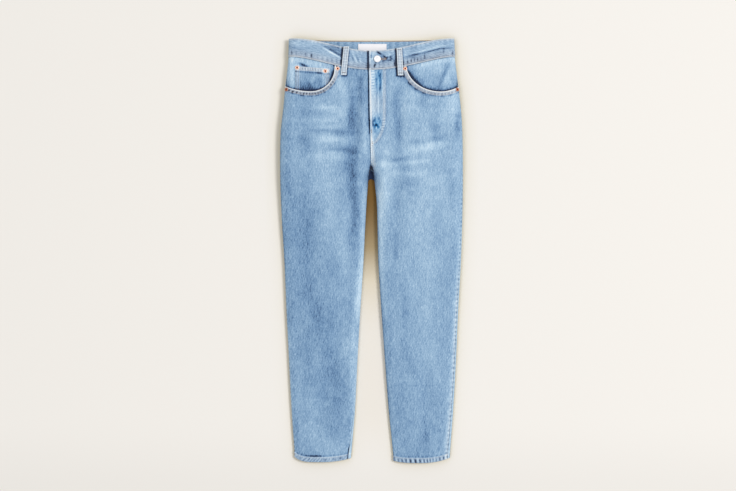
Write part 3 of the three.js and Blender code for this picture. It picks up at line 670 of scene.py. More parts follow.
def frontTopLine(side, c):
    f, pocket = frontPanel, pockets[side]
    waist, inner = f["waistColumns"], f["pocketColumns"]
    opening = pocket["middle"] - pocket["reach"]
    start = side * float(read(middle, "x", pocket["top"]))
    plain = np.where(c < waist - 1, mix(start, opening - f["band"] - 1.5, c / (waist - 1)),
                     mix(opening - f["band"] - 1.5, opening, c - waist + 1))
    turn = rightAngle * np.clip((c - waist) / inner, 0, 1)
    curved = pocket["middle"] - pocket["reach"] * np.cos(turn)
    seam = waistSeam(side, curved) + garment["seamGap"]
    corner = pocket["top"] + pocket["depth"] * np.sin(turn)
    curvedDown = mix(seam, np.maximum(corner, seam), np.clip((c - waist) / 0.6, 0, 1))
    edge = float(section(side, pocket["side"]).edge)
    beside = mix(pocket["middle"], edge, (c - waist - inner) / f["sideColumns"])
    x = (reachOf(side, pocket["side"], beside) - pocket["middle"]) / pocket["sideReach"]
    besideDown = pocket["top"] + pocket["depth"] * np.sqrt(np.clip(1 - x**2, 0, 1))
    parts = [c < waist, c < waist + inner]
    return (np.select(parts, [waistSeam(side, plain) + garment["seamGap"], curvedDown], besideDown),
            np.select(parts, [plain, curved], beside))


def frontBody(s, c):
    f = frontPanel
    endFlat = np.minimum(s.endFlat, s.seamEdge - 6)
    outerStart = frontWidth - f["outerColumns"]
    return np.select([c <= f["innerColumns"], c <= outerStart],
                     [mix(s.seamInner, s.startFlat, c / f["innerColumns"]),
                      mix(s.startFlat, endFlat, (c - f["innerColumns"]) / (outerStart - f["innerColumns"]))],
                     mix(endFlat, s.seamEdge, (c - outerStart) / f["outerColumns"]))


def stretched(lower, zones, marks):
    # shares of the rows go to zones between marks down the leg
    edges = np.cumsum([0, *zones]) / sum(zones)
    down = np.zeros_like(marks[0])
    for k in range(len(zones)):
        inside = (lower >= edges[k] - 1e-9) if k else np.ones_like(lower, bool)
        t = np.clip((lower - edges[k]) / (edges[k + 1] - edges[k]), 0, 1)
        down = np.where(inside, mix(marks[k], marks[k + 1], t), down)
    return down


def frontPlace(side, lower, across):
    gap = garment["seamGap"] / 2
    c = across * frontWidth
    topDown, topAlong = frontTopLine(side, c)
    hemQ = reachOf(side, levels["hem"], frontBody(section(side, levels["hem"]), c))
    hem = hemLine(side, hemQ)
    zones = frontPanel["rows"]
    topEnd = np.full_like(hem, frontPanel["topEnd"])
    down = stretched(lower, zones, [topDown, topEnd, hem - frontPanel["hemZone"], hem])

    def shareOf(at, along):
        s = section(side, at)
        return (along - s.seamInner) / (s.seamEdge - s.seamInner)

    bodyShare = shareOf(down, frontBody(section(side, down), c))
    topShare = np.where(c >= frontWidth - 1e-6, 1, shareOf(topDown, topAlong))
    toBody = ease(0, 1, lower * sum(zones) / zones[0])
    s = section(side, down)
    return down, mix(s.seamInner + s.innerGap, s.seamEdge - gap, mix(topShare, bodyShare, toBody))


def flyReach(down, inset=0.0):
    f = frontPanel
    t = np.clip((down - f["flyStraight"]) / (f["flyEnd"] - inset - f["flyStraight"]), 0, 1)
    return (f["flyWidth"] - inset) * np.sqrt(1 - t**2)


def frontPlaces(side, down, along):
    # the distances that relief and wash are read by
    s = section(side, down)
    q = reachOf(side, down, along)
    d = SimpleNamespace(x=side * q, q=q, innerEdge=q - s.inner, outerEdge=s.outer - q)
    d.pocket = np.where(down < 160, fromPocket(side, down, q), 200.0)
    d.hem = np.where(down > 940, hemLine(side, q) - down, 80.0)
    d.outseam = s.seamEdge - along
    d.inseam = np.where(down > garment["frontCrotch"], along - s.seamInner, 200.0)
    d.middle = q - side * read(middle, "x", down)
    d.waist = down - waistSeam(side, q)
    d.fly = flyReach(down) - q if side > 0 else np.full_like(q, -200.0)
    turn = np.arctan2(down - pockets[side]["top"], q - pockets[side]["middle"])
    d.pocketTravel = turn * 62
    d.roped = (1 - ease(2.5, 2.95, turn)) * (1.0 if side < 0 else 0.6)
    return d


def hemRope(side, d):
    # puckers of the hem: strong on one half of the right leg's, even along the left leg's
    lean = 0.9 if side < 0 else 0.15
    wave = seamWave(side * d.x + lean * d.hem, 11 + side, 9.5)
    return wave * (mix(0.25, 1.25, between(-117, -127, -158, -168, d.x)) if side < 0 else 1.0)


def frontOut(side, down, along):
    f = frontPanel
    d = frontPlaces(side, down, along)
    onBand = 1 - ease(f["band"], f["band"] + 1.5, np.maximum(d.pocket, 0))
    inHem = ease(-1.2, 0, f["hemHeight"] - d.hem)
    inFly = ease(-1.5, 1.0, d.fly)
    level = np.maximum(np.maximum(f["bandOut"] * onBand, f["hemOut"] * inHem), f["flyOut"] * inFly)
    level += inHem * 0.34 * hemRope(side, d) * near(d.hem - 6, 5)
    level += 0.22 * seamWave(side * d.x, 21, 10) * near(d.hem - f["hemHeight"] - 3, 3)
    level += 0.30 * onBand * seamWave(d.pocketTravel, 31, 8) * near(d.pocket - 5, 3)
    level += 0.32 * seamWave(down, 41 + side, 11) * near(d.outseam, 5) * ease(140, 180, down)
    level += 0.25 * seamWave(down, 45 + side, 12) * near(d.inseam, 5)
    groove = mix(0.15, 0.5, ease(965, 985, down))
    level -= 0.5 * near(d.outseam, 0.9) + groove * near(d.inseam, 0.9) * ease(340, 380, down)
    level += 0.35 * seamWave(side * d.x, 51, 9) * near(d.waist - 2.5, 2.2) * (np.abs(d.pocket) > 1)
    level += 0.35 * seamWave(down, 61, 9) * near(d.fly - 3, 2.5) * (side > 0)
    if side < 0:
        level -= 2.0 * (1 - ease(0, 6, d.middle)) * (1 - ease(205, 225, down))
    level += 0.5 * near(d.middle - 4, 3) * between(215, 235, 290, 313, down) * (side > 0)
    return level


# Where the wash has left the cloth paler, or darker where amount is below nought; the dark marks along the
# large folds are also painted shade of those folds
washAndFoldShade = rowsOf("x down length lean width amount",
                (-118, 200, 140, 0, 62, 0.06), (122, 200, 130, 0, 62, 0.10), (-97, 243, 75, 87, 10, 0.36),
                (-102, 283, 74, 90, 10, 0.30), (-92, 180, 64, 90, 15, 0.20), (-119, 222, 85, 90, 5, -0.22),
                (-73, 231, 24, 90, 10, -0.30), (-48, 268, 30, 90, 13, -0.26), (-82, 267, 40, 92, 5, -0.30),
                (-48, 310, 56, 0, 14, -0.36), (-45, 362, 52, 2, 13, -0.24), (-41, 415, 66, -2, 11, -0.26),
                (-158, 246, 34, -50, 12, -0.20), (-104, 332, 80, 0, 42, 0.12), (-48, 185, 90, 3, 12, -0.44),
                (-26, 120, 60, 0, 8, -0.25), (-75, 106, 40, -12, 9, 0.35), (-60, 150, 60, 4, 9, 0.20),
                (133, 262, 78, 80, 10, 0.34), (157, 241, 36, 82, 8, -0.26), (111, 248, 30, 88, 6, -0.20),
                (150, 217, 22, 0, 12, -0.30), (107, 297, 46, 84, 4.5, 0.30), (62, 291, 42, 80, 5, -0.34),
                (33, 303, 44, 90, 9, 0.30), (75, 312, 36, 84, 9, -0.20), (88, 325, 60, 88, 6, 0.18),
                (72, 345, 44, 90, 13, -0.24), (65, 232, 84, 0, 9, -0.34), (61, 380, 70, 0, 11, -0.20),
                (97, 147, 34, 0, 14, 0.16), (172, 184, 40, 0, 17, 0.16), (110, 170, 50, 88, 9, 0.14),
                (61, 160, 70, -1, 11, -0.40), (206, 205, 60, 0, 7, -0.30), (148, 190, 30, 40, 9, -0.12),
                (30, 190, 40, 0, 10, 0.10), (-130, 450, 160, 4, 60, 0.06), (130, 440, 190, -2, 66, 0.14),
                (-119, 690, 190, -14, 24, -0.11), (-80, 880, 120, 2, 17, -0.14),
                (-144, 900, 130, 0, 24, 0.16), (-176, 860, 150, 4, 12, 0.12),
                (140, 700, 260, -2, 50, 0.08), (66, 880, 150, 6, 12, -0.10),
                (130, 945, 80, -2, 7, -0.17), (110, 880, 120, -4, 34, 0.05), (194, 400, 220, -1, 7, -0.08),
                (-204, 420, 260, 2, 9, -0.14), (-78, 500, 100, -4, 20, 0.12),
                (-176, 640, 190, -3, 14, 0.06), (-43, 450, 60, 0, 10, -0.20), (59, 510, 60, 0, 5, -0.24),
                (78, 615, 60, -8, 9, -0.14), (46, 700, 70, 0, 6, -0.20), (92, 775, 70, -20, 12, -0.14),
                (150, 780, 120, -14, 12, 0.08), (-112, 1012, 5, 0, 3, -0.5), (-91, 1010, 5, 0, 3.5, -0.4),
                (-75, 1008, 5, 0, 3.5, -0.5), (-156, 470, 190, 0, 24, -0.22), (-186, 380, 70, 0, 12, -0.18),
                (-64, 530, 150, -3, 12, 0.14), (-85, 395, 70, 0, 14, 0.14), (-40, 355, 80, 0, 9, -0.10),
                (-112, 167, 46, 90, 5, 0.24), (-110, 183, 44, 90, 4, -0.14), (-112, 198, 46, 90, 5, 0.20),
                (-38, 250, 60, 0, 10, -0.22), (-64, 760, 140, 0, 12, 0.14), (-186, 740, 90, 0, 9, 0.10),
                (-118, 830, 70, 0, 30, -0.17), (-184, 930, 90, 0, 9, -0.22), (-92, 990, 44, 0, 34, 0.22),
                (-165, 180, 60, 0, 22, -0.12), (-100, 213, 40, 88, 6, 0.25), (-165, 270, 50, 88, 16, -0.14),
                (32, 340, 150, 2, 13, 0.20), (62, 180, 50, 0, 18, 0.16), (56, 350, 90, 0, 13, 0.16),
                (128, 158, 34, 0, 12, -0.24), (198, 165, 56, 0, 12, 0.26), (31, 700, 170, -4, 9, -0.16),
                (140, 850, 150, 0, 46, -0.12), (128, 600, 110, 0, 18, 0.09),
                (33, 400, 130, 2, 10, 0.13), (-184, 985, 44, 0, 9, -0.15), (-58, 262, 60, 0, 18, -0.11),
                (186, 150, 44, 0, 14, 0.12), (124, 500, 90, 0, 16, 0.09), (38, 850, 90, -6, 7, -0.14),
                (120, 985, 50, 0, 30, -0.12), (80, 690, 80, 0, 12, -0.11))


# The rivets' places on the front
rivetPlaces = dict(coinOuter=(-1, 70.5, 178.5), coinInner=(-1, 79, 110.8), rightInner=(-1, 73.5, 81),
                   leftInner=(1, 73.5, 80.5), rightSide=(-1, 123, 203.5), leftSide=(1, 123, 205.5))


def roundRivets(side, down, q):
    # cloth worn pale round the rivets
    level = np.zeros(np.broadcast(down, q).shape)
    for name, (hand, atDown, atQ) in rivetPlaces.items():
        if hand == side and not name.endswith("Side"):
            level += 0.6 * near(np.hypot(q - atQ, down - atDown) - 5.6, 1.6)
    return level


def loopShadeAndDye(x, down):
    # painted shadow of each belt loop on the cloth beside and under it, strongest on its left, away from the
    # light; the cloth under the loop also keeps its dye
    level = np.zeros(np.broadcast(x, down).shape)
    for side, use in frontLoops.items():
        t = (down - use["top"]) / (use["bottom"] - use["top"])
        across = x - side * mix(use["topQ"], use["bottomQ"], t)
        along = between(-0.06, 0.04, 1.0, 1.06, t)
        left = near(across + 8.6, 2.6) * (1 - ease(0.5, 0.75, t))
        if side > 0:
            left = near(across + loop["width"] / 2 + 2.2, 2.6)
        level -= along * (1.5 * left + 0.7 * near(across - loop["width"] / 2 - 1.2, 1.6))
        level -= 1.1 * near((t - 1.03) * 60, 2.2) * near(across, 7)
    return level


# Lines of the wash that follow a seam or an edge, some of them dark lines of painted shade along the slit at
# the middle, beside the fly's step and along the shaded edges of the legs: where they begin, are full, fade
# and end down the leg
fromTop, toHem = (-2, -1), (2000, 2001)
strokes = {  # measure, at, reach, amount
    -1: [("inseam", 1, 4, 0.25, 640, 740, 965, 980), ("inseam", 0, 1.9, -1.5, 972, 990, *toHem),
         ("innerEdge", 9, 11, 0.30, 470, 640, 850, 920), ("innerEdge", 2, 4, 0.30, 440, 520, 600, 680),
         ("innerEdge", 6, 6, 0.30, 340, 380, 620, 700), ("outerEdge", 0, 2.2, -0.30, 150, 200, *toHem),
         ("outseam", 4, 5, 0.30, 500, 640, *toHem), ("outseam", 0, 1.1, -0.15, *fromTop, *toHem),
         ("middle", 0, 2.3, -1.5, *fromTop, 216, 240), ("middle", 0, 1.4, -0.5, 225, 245, *toHem),
         ("middle", 18, 14, -0.15, *fromTop, 200, 240), ("middle", 12, 5, 0.25, 150, 200, 260, 300)],
    1: [("innerEdge", 0, 2.0, -0.35, 420, 470, *toHem), ("innerEdge", 8, 6, 0.30, 340, 380, 620, 700),
        ("outseam", 4, 5, 0.30, 400, 520, *toHem), ("outseam", 0, 1.1, -0.15, *fromTop, *toHem),
        ("middle", 0, 1.4, -1.2, *fromTop, 216, 240), ("middle", 3.4, 1.4, 0.85, *fromTop, 300, 312),
        ("middle", 5, 4.5, 0.55, 225, 245, 300, 313), ("middle", 4.2, 1.0, -0.6, 250, 262, 300, 313),
        ("x", 16.4, 1.5, 0.50, 94, 102, 180, 196), ("x", 26.3, 1.5, 0.45, 94, 102, 130, 146),
        ("fly", 5, 2.0, 0.24, 96, 104, *toHem), ("fly", 1.0, 1.4, 0.14, *fromTop, *toHem),
        ("fly", -2.2, 1.8, -0.30, *fromTop, *toHem)],
}


# The front's wash, with painted shade along the middle's slit, in the slot between the thighs, by the pocket
# bands and under the waistband
def frontWashAndShade(side, down, along):
    f = frontPanel
    d = frontPlaces(side, down, along)
    x, hemTop = d.x, d.hem - f["hemHeight"]
    level = blots(washAndFoldShade, "amount", x, down) - 0.11 * ease(330, 620, down) - (0.17 if side < 0 else 0.08)
    for measure, at, reach, amount, *span in strokes[side]:
        level += amount * near(getattr(d, measure) - at, reach) * between(*span, down)
    level += 0.09 * ripple(x / 26, down / 60, 201) + 0.06 * ripple(x / 9, down / 20, 202)
    level += 0.07 * ripple(x / 34, down / 11, 203) * (1 - ease(330, 420, down))
    level += loopShadeAndDye(x, down) + roundRivets(side, down, d.q)
    # the band of the pocket opening, with painted shade just outside its raised edge
    onBand = 1 - ease(f["band"], f["band"] + 1.2, np.maximum(d.pocket, 0))
    level += 1.1 * near(d.pocket - 0.8, 1.6) - onBand * 0.50 * near(d.pocket - 6.0, 3.2) * d.roped
    level += onBand * 0.55 * seamWave(d.pocketTravel, 31, 7) * near(d.pocket - 6, 3.2) * d.roped
    level -= 0.75 * near(d.pocket - f["band"] - 1.4, 1.8) * (0.5 + 0.5 * seamWave(d.pocketTravel, 33, 17))
    # hem and seams
    inHem = ease(-0.8, 0.4, -hemTop)
    level += inHem * (0.85 * hemRope(side, d) * near(d.hem - 5.0, 5.0) + (-0.10 if side > 0 else 0.05))
    level += 0.36 * near(hemTop + 1.4, 1.6)
    level -= (0.20 - 0.30 * seamWave(side * x, 21, 10)) * near(hemTop - 2.4, 2.2)
    ticks = 0.55 if side > 0 else 0.8
    level += ticks * seamWave(down, 41 + side, 11) * near(d.outseam, 4.5) * ease(140, 180, down)
    level += 0.20 * seamWave(down, 45 + side, 12) * near(d.inseam, 4.5)
    level += 0.45 * seamWave(side * x, 51, 9) * near(d.waist - 3, 2.6) * (np.abs(d.pocket) > 1)
    # painted shade under the lower edge of the waistband
    level -= 0.30 * near(d.waist - 2, 2.2) * (d.pocket > 1) * (0.6 + 0.6 * seamWave(x, 53, 12))
    # painted shade in the slot between the thighs
    slot = mix(3.2, 7.4, ease(300, 335, down))
    level -= 1.5 * between(296, 312, 345, 380, down) * near(side * x - side * read(middle, "x", down), slot)
    if side < 0:
        return level - 0.85 * near(hemTop - 1.8, 2.0) * near(x + 136, 19)
    # painted shadow along the outside of the left pocket's band
    level -= 0.5 * near(d.pocket - f["band"] - 3.0, 4.0) * near(d.pocketTravel - 148, 26)
    # the fly
    level += 0.47 * (1 - ease(10, 20, d.middle)) * (1 - ease(180, 205, down))
    level += 0.60 * seamWave(down, 63, 7) * near(d.middle - 9.5, 3.6) * (1 - ease(122, 136, down))
    # dark uneven streaks inside the fly: painted shade of a trough, with unworn dye in it
    blotch = 0.65 + 0.7 * ripple(down / 9, x / 5, 66)
    level -= 0.95 * blotch * near(x - 20.5, 3.4) * between(76, 84, 114, 134, down)
    level -= 0.8 * blotch * near(x - 12.0, 2.2) * between(92, 98, 112, 124, down)
    spots = ripple(x / 3.0, down / 5.5, 77) + 0.35
    level -= 1.25 * np.clip(spots, 0, 1) * near(x - 13, 11.5) * near(down - 206, 17) * ease(-1, 3, d.fly)
    level += 1.2 * np.clip(-spots, 0, 1) * near(x - 14, 12) * near(down - 214, 16)
    return level + 0.9 * seamWave(down, 61, 6) * near(d.fly - 3, 3.2) * ease(180, 200, down)


def frontBare(side, down, along):
    f = frontPanel
    d = frontPlaces(side, down, along)
    bare = 1 - ease(f["band"] - 2, f["band"] + 1.5, np.maximum(d.pocket, 0))
    bare += 0.35 * ease(-1, 1, f["hemHeight"] - d.hem) + 0.5 * near(d.outseam, 5) * ease(500, 640, down)
    if side > 0:
        bare += 0.4 * near(d.fly - 3, 4) + 0.5 * near(d.middle - 4.5, 3)
        bare += 0.45 * near(d.x - 10, 14) * near(down - 160, 26)
        bare -= 0.6 * near(d.x - 17, 9) * near(down - 100, 30)
        bare -= 0.8 * near(d.x - 13, 11) * near(down - 206, 20)
    return np.clip(bare, -1, 1)


for side, hand in hands:
    piece = dict(name="front" + hand, flat=(0.245, 0.96), area=0.2, restsOn=["back" + hand])
    clothSheet(piece, side, frontPanel["columns"], sum(frontPanel["rows"]), frontPlace, frontOut, frontWashAndShade,
               bare=frontBare)

# Backs
backPanel = dict(columns=64, rows=(24, 200, 14), topEnd=170, hemZone=30, sideColumns=5, flatColumns=7,
                 innerColumns=6)


def backBody(s, c):
    b, gap = backPanel, garment["seamGap"] / 2
    start, end = s.seamEdge + gap, s.end + s.inseamIn - s.innerGap
    endFlat = np.minimum(s.endUnder, s.end - mix(40, 8, ease(230, 335, s.down)))
    first, second = b["sideColumns"], b["sideColumns"] + b["flatColumns"]
    return np.select([c <= first, c <= second],
                     [mix(start, s.startUnder, c / first),
                      mix(s.startUnder, endFlat, (c - first) / b["flatColumns"])],
                     mix(endFlat, end, (c - second) / b["innerColumns"]))


backWidth = backPanel["sideColumns"] + backPanel["flatColumns"] + backPanel["innerColumns"]


def yokeReach(side, c):
    return reachOf(side, levels["yoke"], backBody(section(side, levels["yoke"]), c))


def backPlace(side, lower, across):
    c = across * backWidth
    yokeQ = yokeReach(side, c)
    s = section(side, levels["hem"])
    along = backBody(s, c)
    under = ease(-2, 2, along - s.startUnder) * (1 - ease(-2, 2, along - s.endUnder))
    hemQ = reachOf(side, levels["hem"], along)
    hem = mix(hemLine(side, hemQ), hemLine(side, hemQ, 4), under)
    marks = [yokeSeam(yokeQ) + garment["seamGap"], np.full_like(hem, backPanel["topEnd"]),
             hem - backPanel["hemZone"], hem]
    down = stretched(lower, backPanel["rows"], marks)
    return down, backBody(section(side, down), c)


def backOut(side, down, along):
    s = section(side, down)
    toSeam = along - s.seamEdge
    over = 1 - ease(s.startUnder - 6, s.startUnder, along)
    level = 0.32 * seamWave(down, 41 + side, 11) * near(toSeam, 5) * ease(140, 180, down) * over
    return level - 0.5 * near(toSeam, 0.9)


def backWash(side, down, along):
    s = section(side, down)
    q = reachOf(side, down, along)
    x = side * q
    hem = np.where(down > 940, hemLine(side, q) - down, 80.0)
    level = 0.38 * near(q - 105, 60) * near(down - 235, 80) - 0.1
    level += 0.1 * near(q - 110, 60) * near(down - 470, 160)
    level += 0.34 * seamWave(down, 41 + side, 11) * near(along - s.seamEdge, 4.5) * ease(140, 180, down)
    level -= 0.15 * near(along - s.seamEdge, 1.1)
    if side > 0:
        level += 0.34 * near(along - s.seamEdge - 3, 5) * ease(380, 500, down)
    else:
        level += 0.38 * near(s.end + s.inseamIn - along, 9) * ease(560, 700, down)
    level += 0.45 * seamWave(side * x, 15 + side, 10) * near(hem - 6, 6) + 0.4 * near(hem - 12, 1.6)
    level += 0.3 * near(down - yokeSeam(q) - 3, 3) * (1 + seamWave(q, 71, 10))
    level += 0.3 * near(s.end - along, 5) * (1 - ease(300, 330, down)) * (1 + seamWave(down, 73, 10))
    return level


def backShaded(side, down, along):
    # painted shade on the inner face in the slot between the thighs
    return 1.5 * near(section(side, down).end - along, 9) * between(312, 322, 345, 372, down)


for side, hand in hands:
    piece = dict(name="back" + hand, flat=(0.31, 0.94), area=0.22, restsOn=["floor"])
    clothSheet(piece, side, backPanel["columns"], sum(backPanel["rows"]), backPlace, backOut, backWash,
               shaded=backShaded)

# Yokes
def yokePlace(side, lower, across):
    c = across * backWidth
    q = yokeReach(side, c)
    down = mix(backWaistSeam(q) + garment["seamGap"], yokeSeam(q), lower)
    return down, backBody(section(side, down), c)


def yokeWash(side, down, along):
    q = reachOf(side, down, along)
    level = 0.15 - 0.3 * near(yokeSeam(q) - down, 2)
    return level + 0.3 * seamWave(q, 75, 10) * near(down - backWaistSeam(q), 5)


onSkin = evenly(0)
for side, hand in hands:
    piece = dict(name="yoke" + hand, flat=(0.225, 0.085), area=0.0135, restsOn=["floor"])
    clothSheet(piece, side, 60, 24, yokePlace, onSkin, yokeWash)

# Back pockets, under the seat
backPocket = dict(inner=36, outer=172, top=142, bottom=276, point=20, taper=7, thick=1.25)


def backPocketPlace(side, lower, across):
    b = backPocket
    taper = b["taper"] * lower
    q = mix(b["inner"] + taper, b["outer"] - taper, 1 - across)
    bottom = b["bottom"] + b["point"] * (1 - np.abs(2 * across - 1))
    down = mix(b["top"], bottom, lower)
    return down, underAt(side, down, q)


backPocketOut = evenly(garment["seatLift"])


def backPocketWash(side, down, along):
    q = reachOf(side, down, along)
    edge = np.minimum(np.minimum(q - backPocket["inner"], backPocket["outer"] - q), down - backPocket["top"])
    return 0.3 + 0.4 * near(edge, 2.5) + 0.3 * seamWave(down + q, 81, 10) * near(edge - 5, 4)


for side, hand in hands:
    piece = dict(name="backPocket" + hand, flat=(0.136, 0.154), area=0.0183, thick=backPocket["thick"],
                 restsOn=["floor"])
    clothSheet(piece, side, 40, 44, backPocketPlace, backPocketOut, backPocketWash)

# Facings of the front pockets, and the coin pocket on the right one
facing = dict(sink=3.4, topSink=1.6, side=0.4, end=152, past=14)
coin = dict(inner=101, outer=183, topInner=73.5, topOuter=67, bottom=146, band=9)


def facingPlace(side, lower, across):
    start = pockets[side]["middle"] - pockets[side]["reach"] - facing["past"]

    def at(down):
        return mix(start, section(side, down).edge - garment["seamGap"], across)

    q = reachOf(side, levels["facing"], at(levels["facing"]))
    down = mix(waistSeam(side, q) + 2 * garment["seamGap"], facing["end"], lower)
    return down, at(down)


def facingOut(side, down, along):
    s = section(side, down)
    beside = ease(s.endFlat, s.edge, along) * (1 - ease(92, 110, down))
    q = reachOf(side, down, along)
    sink = mix(facing["sink"], facing["topSink"], near(down - waistSeam(side, q), 8))
    return -mix(sink, facing["side"], beside)


def facingWashAndShade(side, down, along):
    q = reachOf(side, down, along)
    inside = -fromPocket(side, down, q)
    below = down - waistSeam(side, q)
    # painted shadow inside the pocket's opening, where the facing lies below the pocket's edge
    level = 0.10 - 0.90 * near(inside, 4.5) - 0.34 * near(inside, 14) + 0.26 * near(below - 7, 7)
    level += 0.18 * ripple(q / 18, down / 24, 211 + side) + roundRivets(side, down, q)
    level += 0.18 * seamWave(q, 213, 11) * near(below - 5, 4)
    if side > 0:
        crease = (q - 172) * 0.93 + (down - 92) * 0.37
        # more painted shadow inside the left pocket's opening
        level -= 0.6 * near(inside, 7) * (1 - ease(96, 116, q)) * ease(76, 88, down)
        level -= 0.55 * near(inside - 4, 13) * near(q - 108, 15)
        # painted highlight and painted shade of a crease in the facing
        level += 0.15 * near(crease - 10, 6) * near(down - 92, 24)
        return level - 0.48 * near(crease, 5.0) * near(down - 92, 26)
    # painted shadow just above the coin pocket's band, and inside the pocket's opening
    level += 0.35 * near(q - 191, 5) - 1.1 * near(q - 163, 11) * near(down - 64.5 + 0.45 * (q - 163), 3.2)
    return level - 1.0 * near(inside, 6) * ease(72, 86, down) * (1 - ease(104, 120, q))


for side, hand, width, area in ((-1, "Right", 0.142, 0.0128), (1, "Left", 0.152, 0.0138)):
    piece = dict(name="pocketFacing" + hand, flat=(width, 0.108), area=area, paint="inside",
                 restsOn=["front" + hand])
    clothSheet(piece, side, 56, 44, facingPlace, facingOut, facingWashAndShade)


def coinTop(q):
    return mix(coin["topInner"], coin["topOuter"], (q - coin["inner"]) / (coin["outer"] - coin["inner"]))


def coinPlace(side, lower, across):
    q = mix(coin["inner"], coin["outer"], across)
    down = mix(coinTop(q), coin["bottom"], lower)
    return down, overAt(side, down, q)


def onCoin(side, down, along):
    # reach, distance below the top edge, distance in from the side edges
    q = reachOf(side, down, along)
    return q, down - coinTop(q), np.minimum(q - coin["inner"], coin["outer"] - q)


def coinOut(side, down, along):
    q, below, beside = onCoin(side, down, along)
    level = facingOut(side, down, along) + garment["seamGap"] + garment["cloth"]
    level += 0.45 * (1 - ease(coin["band"] - 0.5, coin["band"] + 1, below))
    return level + 0.25 * seamWave(q, 85, 9) * near(below - 5, 4)


def coinWashAndShade(side, down, along):
    q, below, beside = onCoin(side, down, along)
    level = 0.55 * near(below, 1.6) + 0.25 * near(below - coin["band"], 1.4)
    level -= 0.22 * ease(8, 22, below) + 0.10
    for inset in (1.2, 5.4, 9.8):
        level += 0.36 * near(beside - inset, 1.3) - 0.16 * near(beside - inset - 2.1, 1.0)
    level += 0.30 * near(q - coin["inner"] - 14.5, 1.4) + 0.12 * near(beside - 5, 6)
    level += roundRivets(-1, down, q) + 0.25 * near(np.hypot(q - 128, down - 104) - 14, 6)
    # painted shade under the coin pocket's band
    level -= 1.0 * near(below - coin["band"] - 3.0, 2.8) * (0.8 + 0.3 * ripple(q / 14, 0, 217))
    level -= 0.30 * near(q - 150, 18) * near(down - 119, 16)
    level += 0.65 * seamWave(q, 85, 7) * near(below - 5, 3) + 0.16 * ripple(q / 12, down / 16, 215)
    # painted shadow of the pocket's edge over the coin pocket
    return level - 0.8 * near(-fromPocket(side, down, q), 4.0) - 0.25 * near(-fromPocket(side, down, q), 12)


def coinBare(side, down, along):
    q, below, beside = onCoin(side, down, along)
    return np.clip(0.8 - ease(8, 11, below) * 0.8 + 0.35 * near(beside - 5, 6), 0, 1)


coinPiece = dict(name="coinPocket", flat=(0.084, 0.078), area=0.0063, restsOn=["pocketFacingRight"])
clothSheet(coinPiece, -1, 54, 50, coinPlace, coinOut, coinWashAndShade, bare=coinBare)
print("pockets sewn")

# Waistband
waistband = dict(out=1.0, into=1.6, underlap=36, backTop=5, rounded=0.7)
bandCreases = rowsOf("x down length lean width deep",
                     (-96, 30, 42, -60, 4, 1.0), (-180, 24, 34, -78, 3, 0.5), (102, 40.5, 32, 76, 2.6, 0.8),
                     (146, 30.0, 36, 75, 2.6, 1.0), (178, 24.3, 26, 85, 2.6, 0.8),
                     (18, 36, 16, -58, 2.5, 0.6), (44, 53, 14, 80, 3, 0.5), (8, 66, 10, 20, 2.5, 0.4))
# Marks of the wash alone on the band: beside the right loop, round the button
bandMarks = rowsOf("x down length lean width amount",
                   (-39, 49, 20, -26, 2.4, 0.40), (-44, 51, 18, -24, 2.2, -0.45),
                   (-33, 51, 18, -20, 2.4, -0.34), (-26, 55, 14, -10, 2.4, 0.28),
                   (18, 36, 12, -55, 2.4, -0.8), (-1, 43.5, 7, 0, 2.0, -0.8),
                   (2.5, 49, 6, 10, 1.8, 0.5), (30, 43, 8, -40, 2.2, -0.6), (36, 48, 8, 60, 2.2, -0.6),
                   (42, 43, 9, 10, 2.0, 0.4), (46, 50, 9, 0, 2.2, -0.5), (4, 38, 8, 30, 2.0, 0.4),
                   (10, 62, 8, 8, 2.0, -0.5), (127, 43, 9, 2, 1.8, -0.7), (173, 31, 9, 2, 2.2, -0.7))


def frontBandPlace(side, lower, across):
    frontEdge = side * float(read(middle, "x", garment["waistHeight"]))
    startQ = frontEdge - (waistband["underlap"] if side < 0 else 0)

    def at(down):
        return mix(startQ, section(side, down).edge - garment["seamGap"] / 2, across)

    q = np.where(across > 0.9999, garment["waistReach"], at(garment["waistHeight"]))
    down = mix(waistTop(side, q), waistSeam(side, q), lower)
    return down, at(down)


def bandLevel(side, x, down):
    drop = waistband["out"] + waistband["into"] + garment["seamGap"]
    under = drop * (1 - ease(14, 30, side * x)) if side < 0 else 0.0
    return -under - blots(bandCreases, "deep", x, down)


def onFrontBand(side, down, along):
    # place across, distances up from the seam and down from the top
    q = reachOf(side, down, along)
    return side * q, waistSeam(side, q) - down, down - waistTop(side, q)


def frontBandOut(side, down, along):
    x, low, high = onFrontBand(side, down, along)
    level = waistband["out"] + bandLevel(side, x, down)
    level -= 0.30 * seamWave(x, 91, 11) * near(low - 8, 5) - 0.18 * seamWave(x, 93, 12) * near(high - 5, 4)
    return level - 0.45 * near(low, 1.2) - 0.45 * near(high, 1.2)


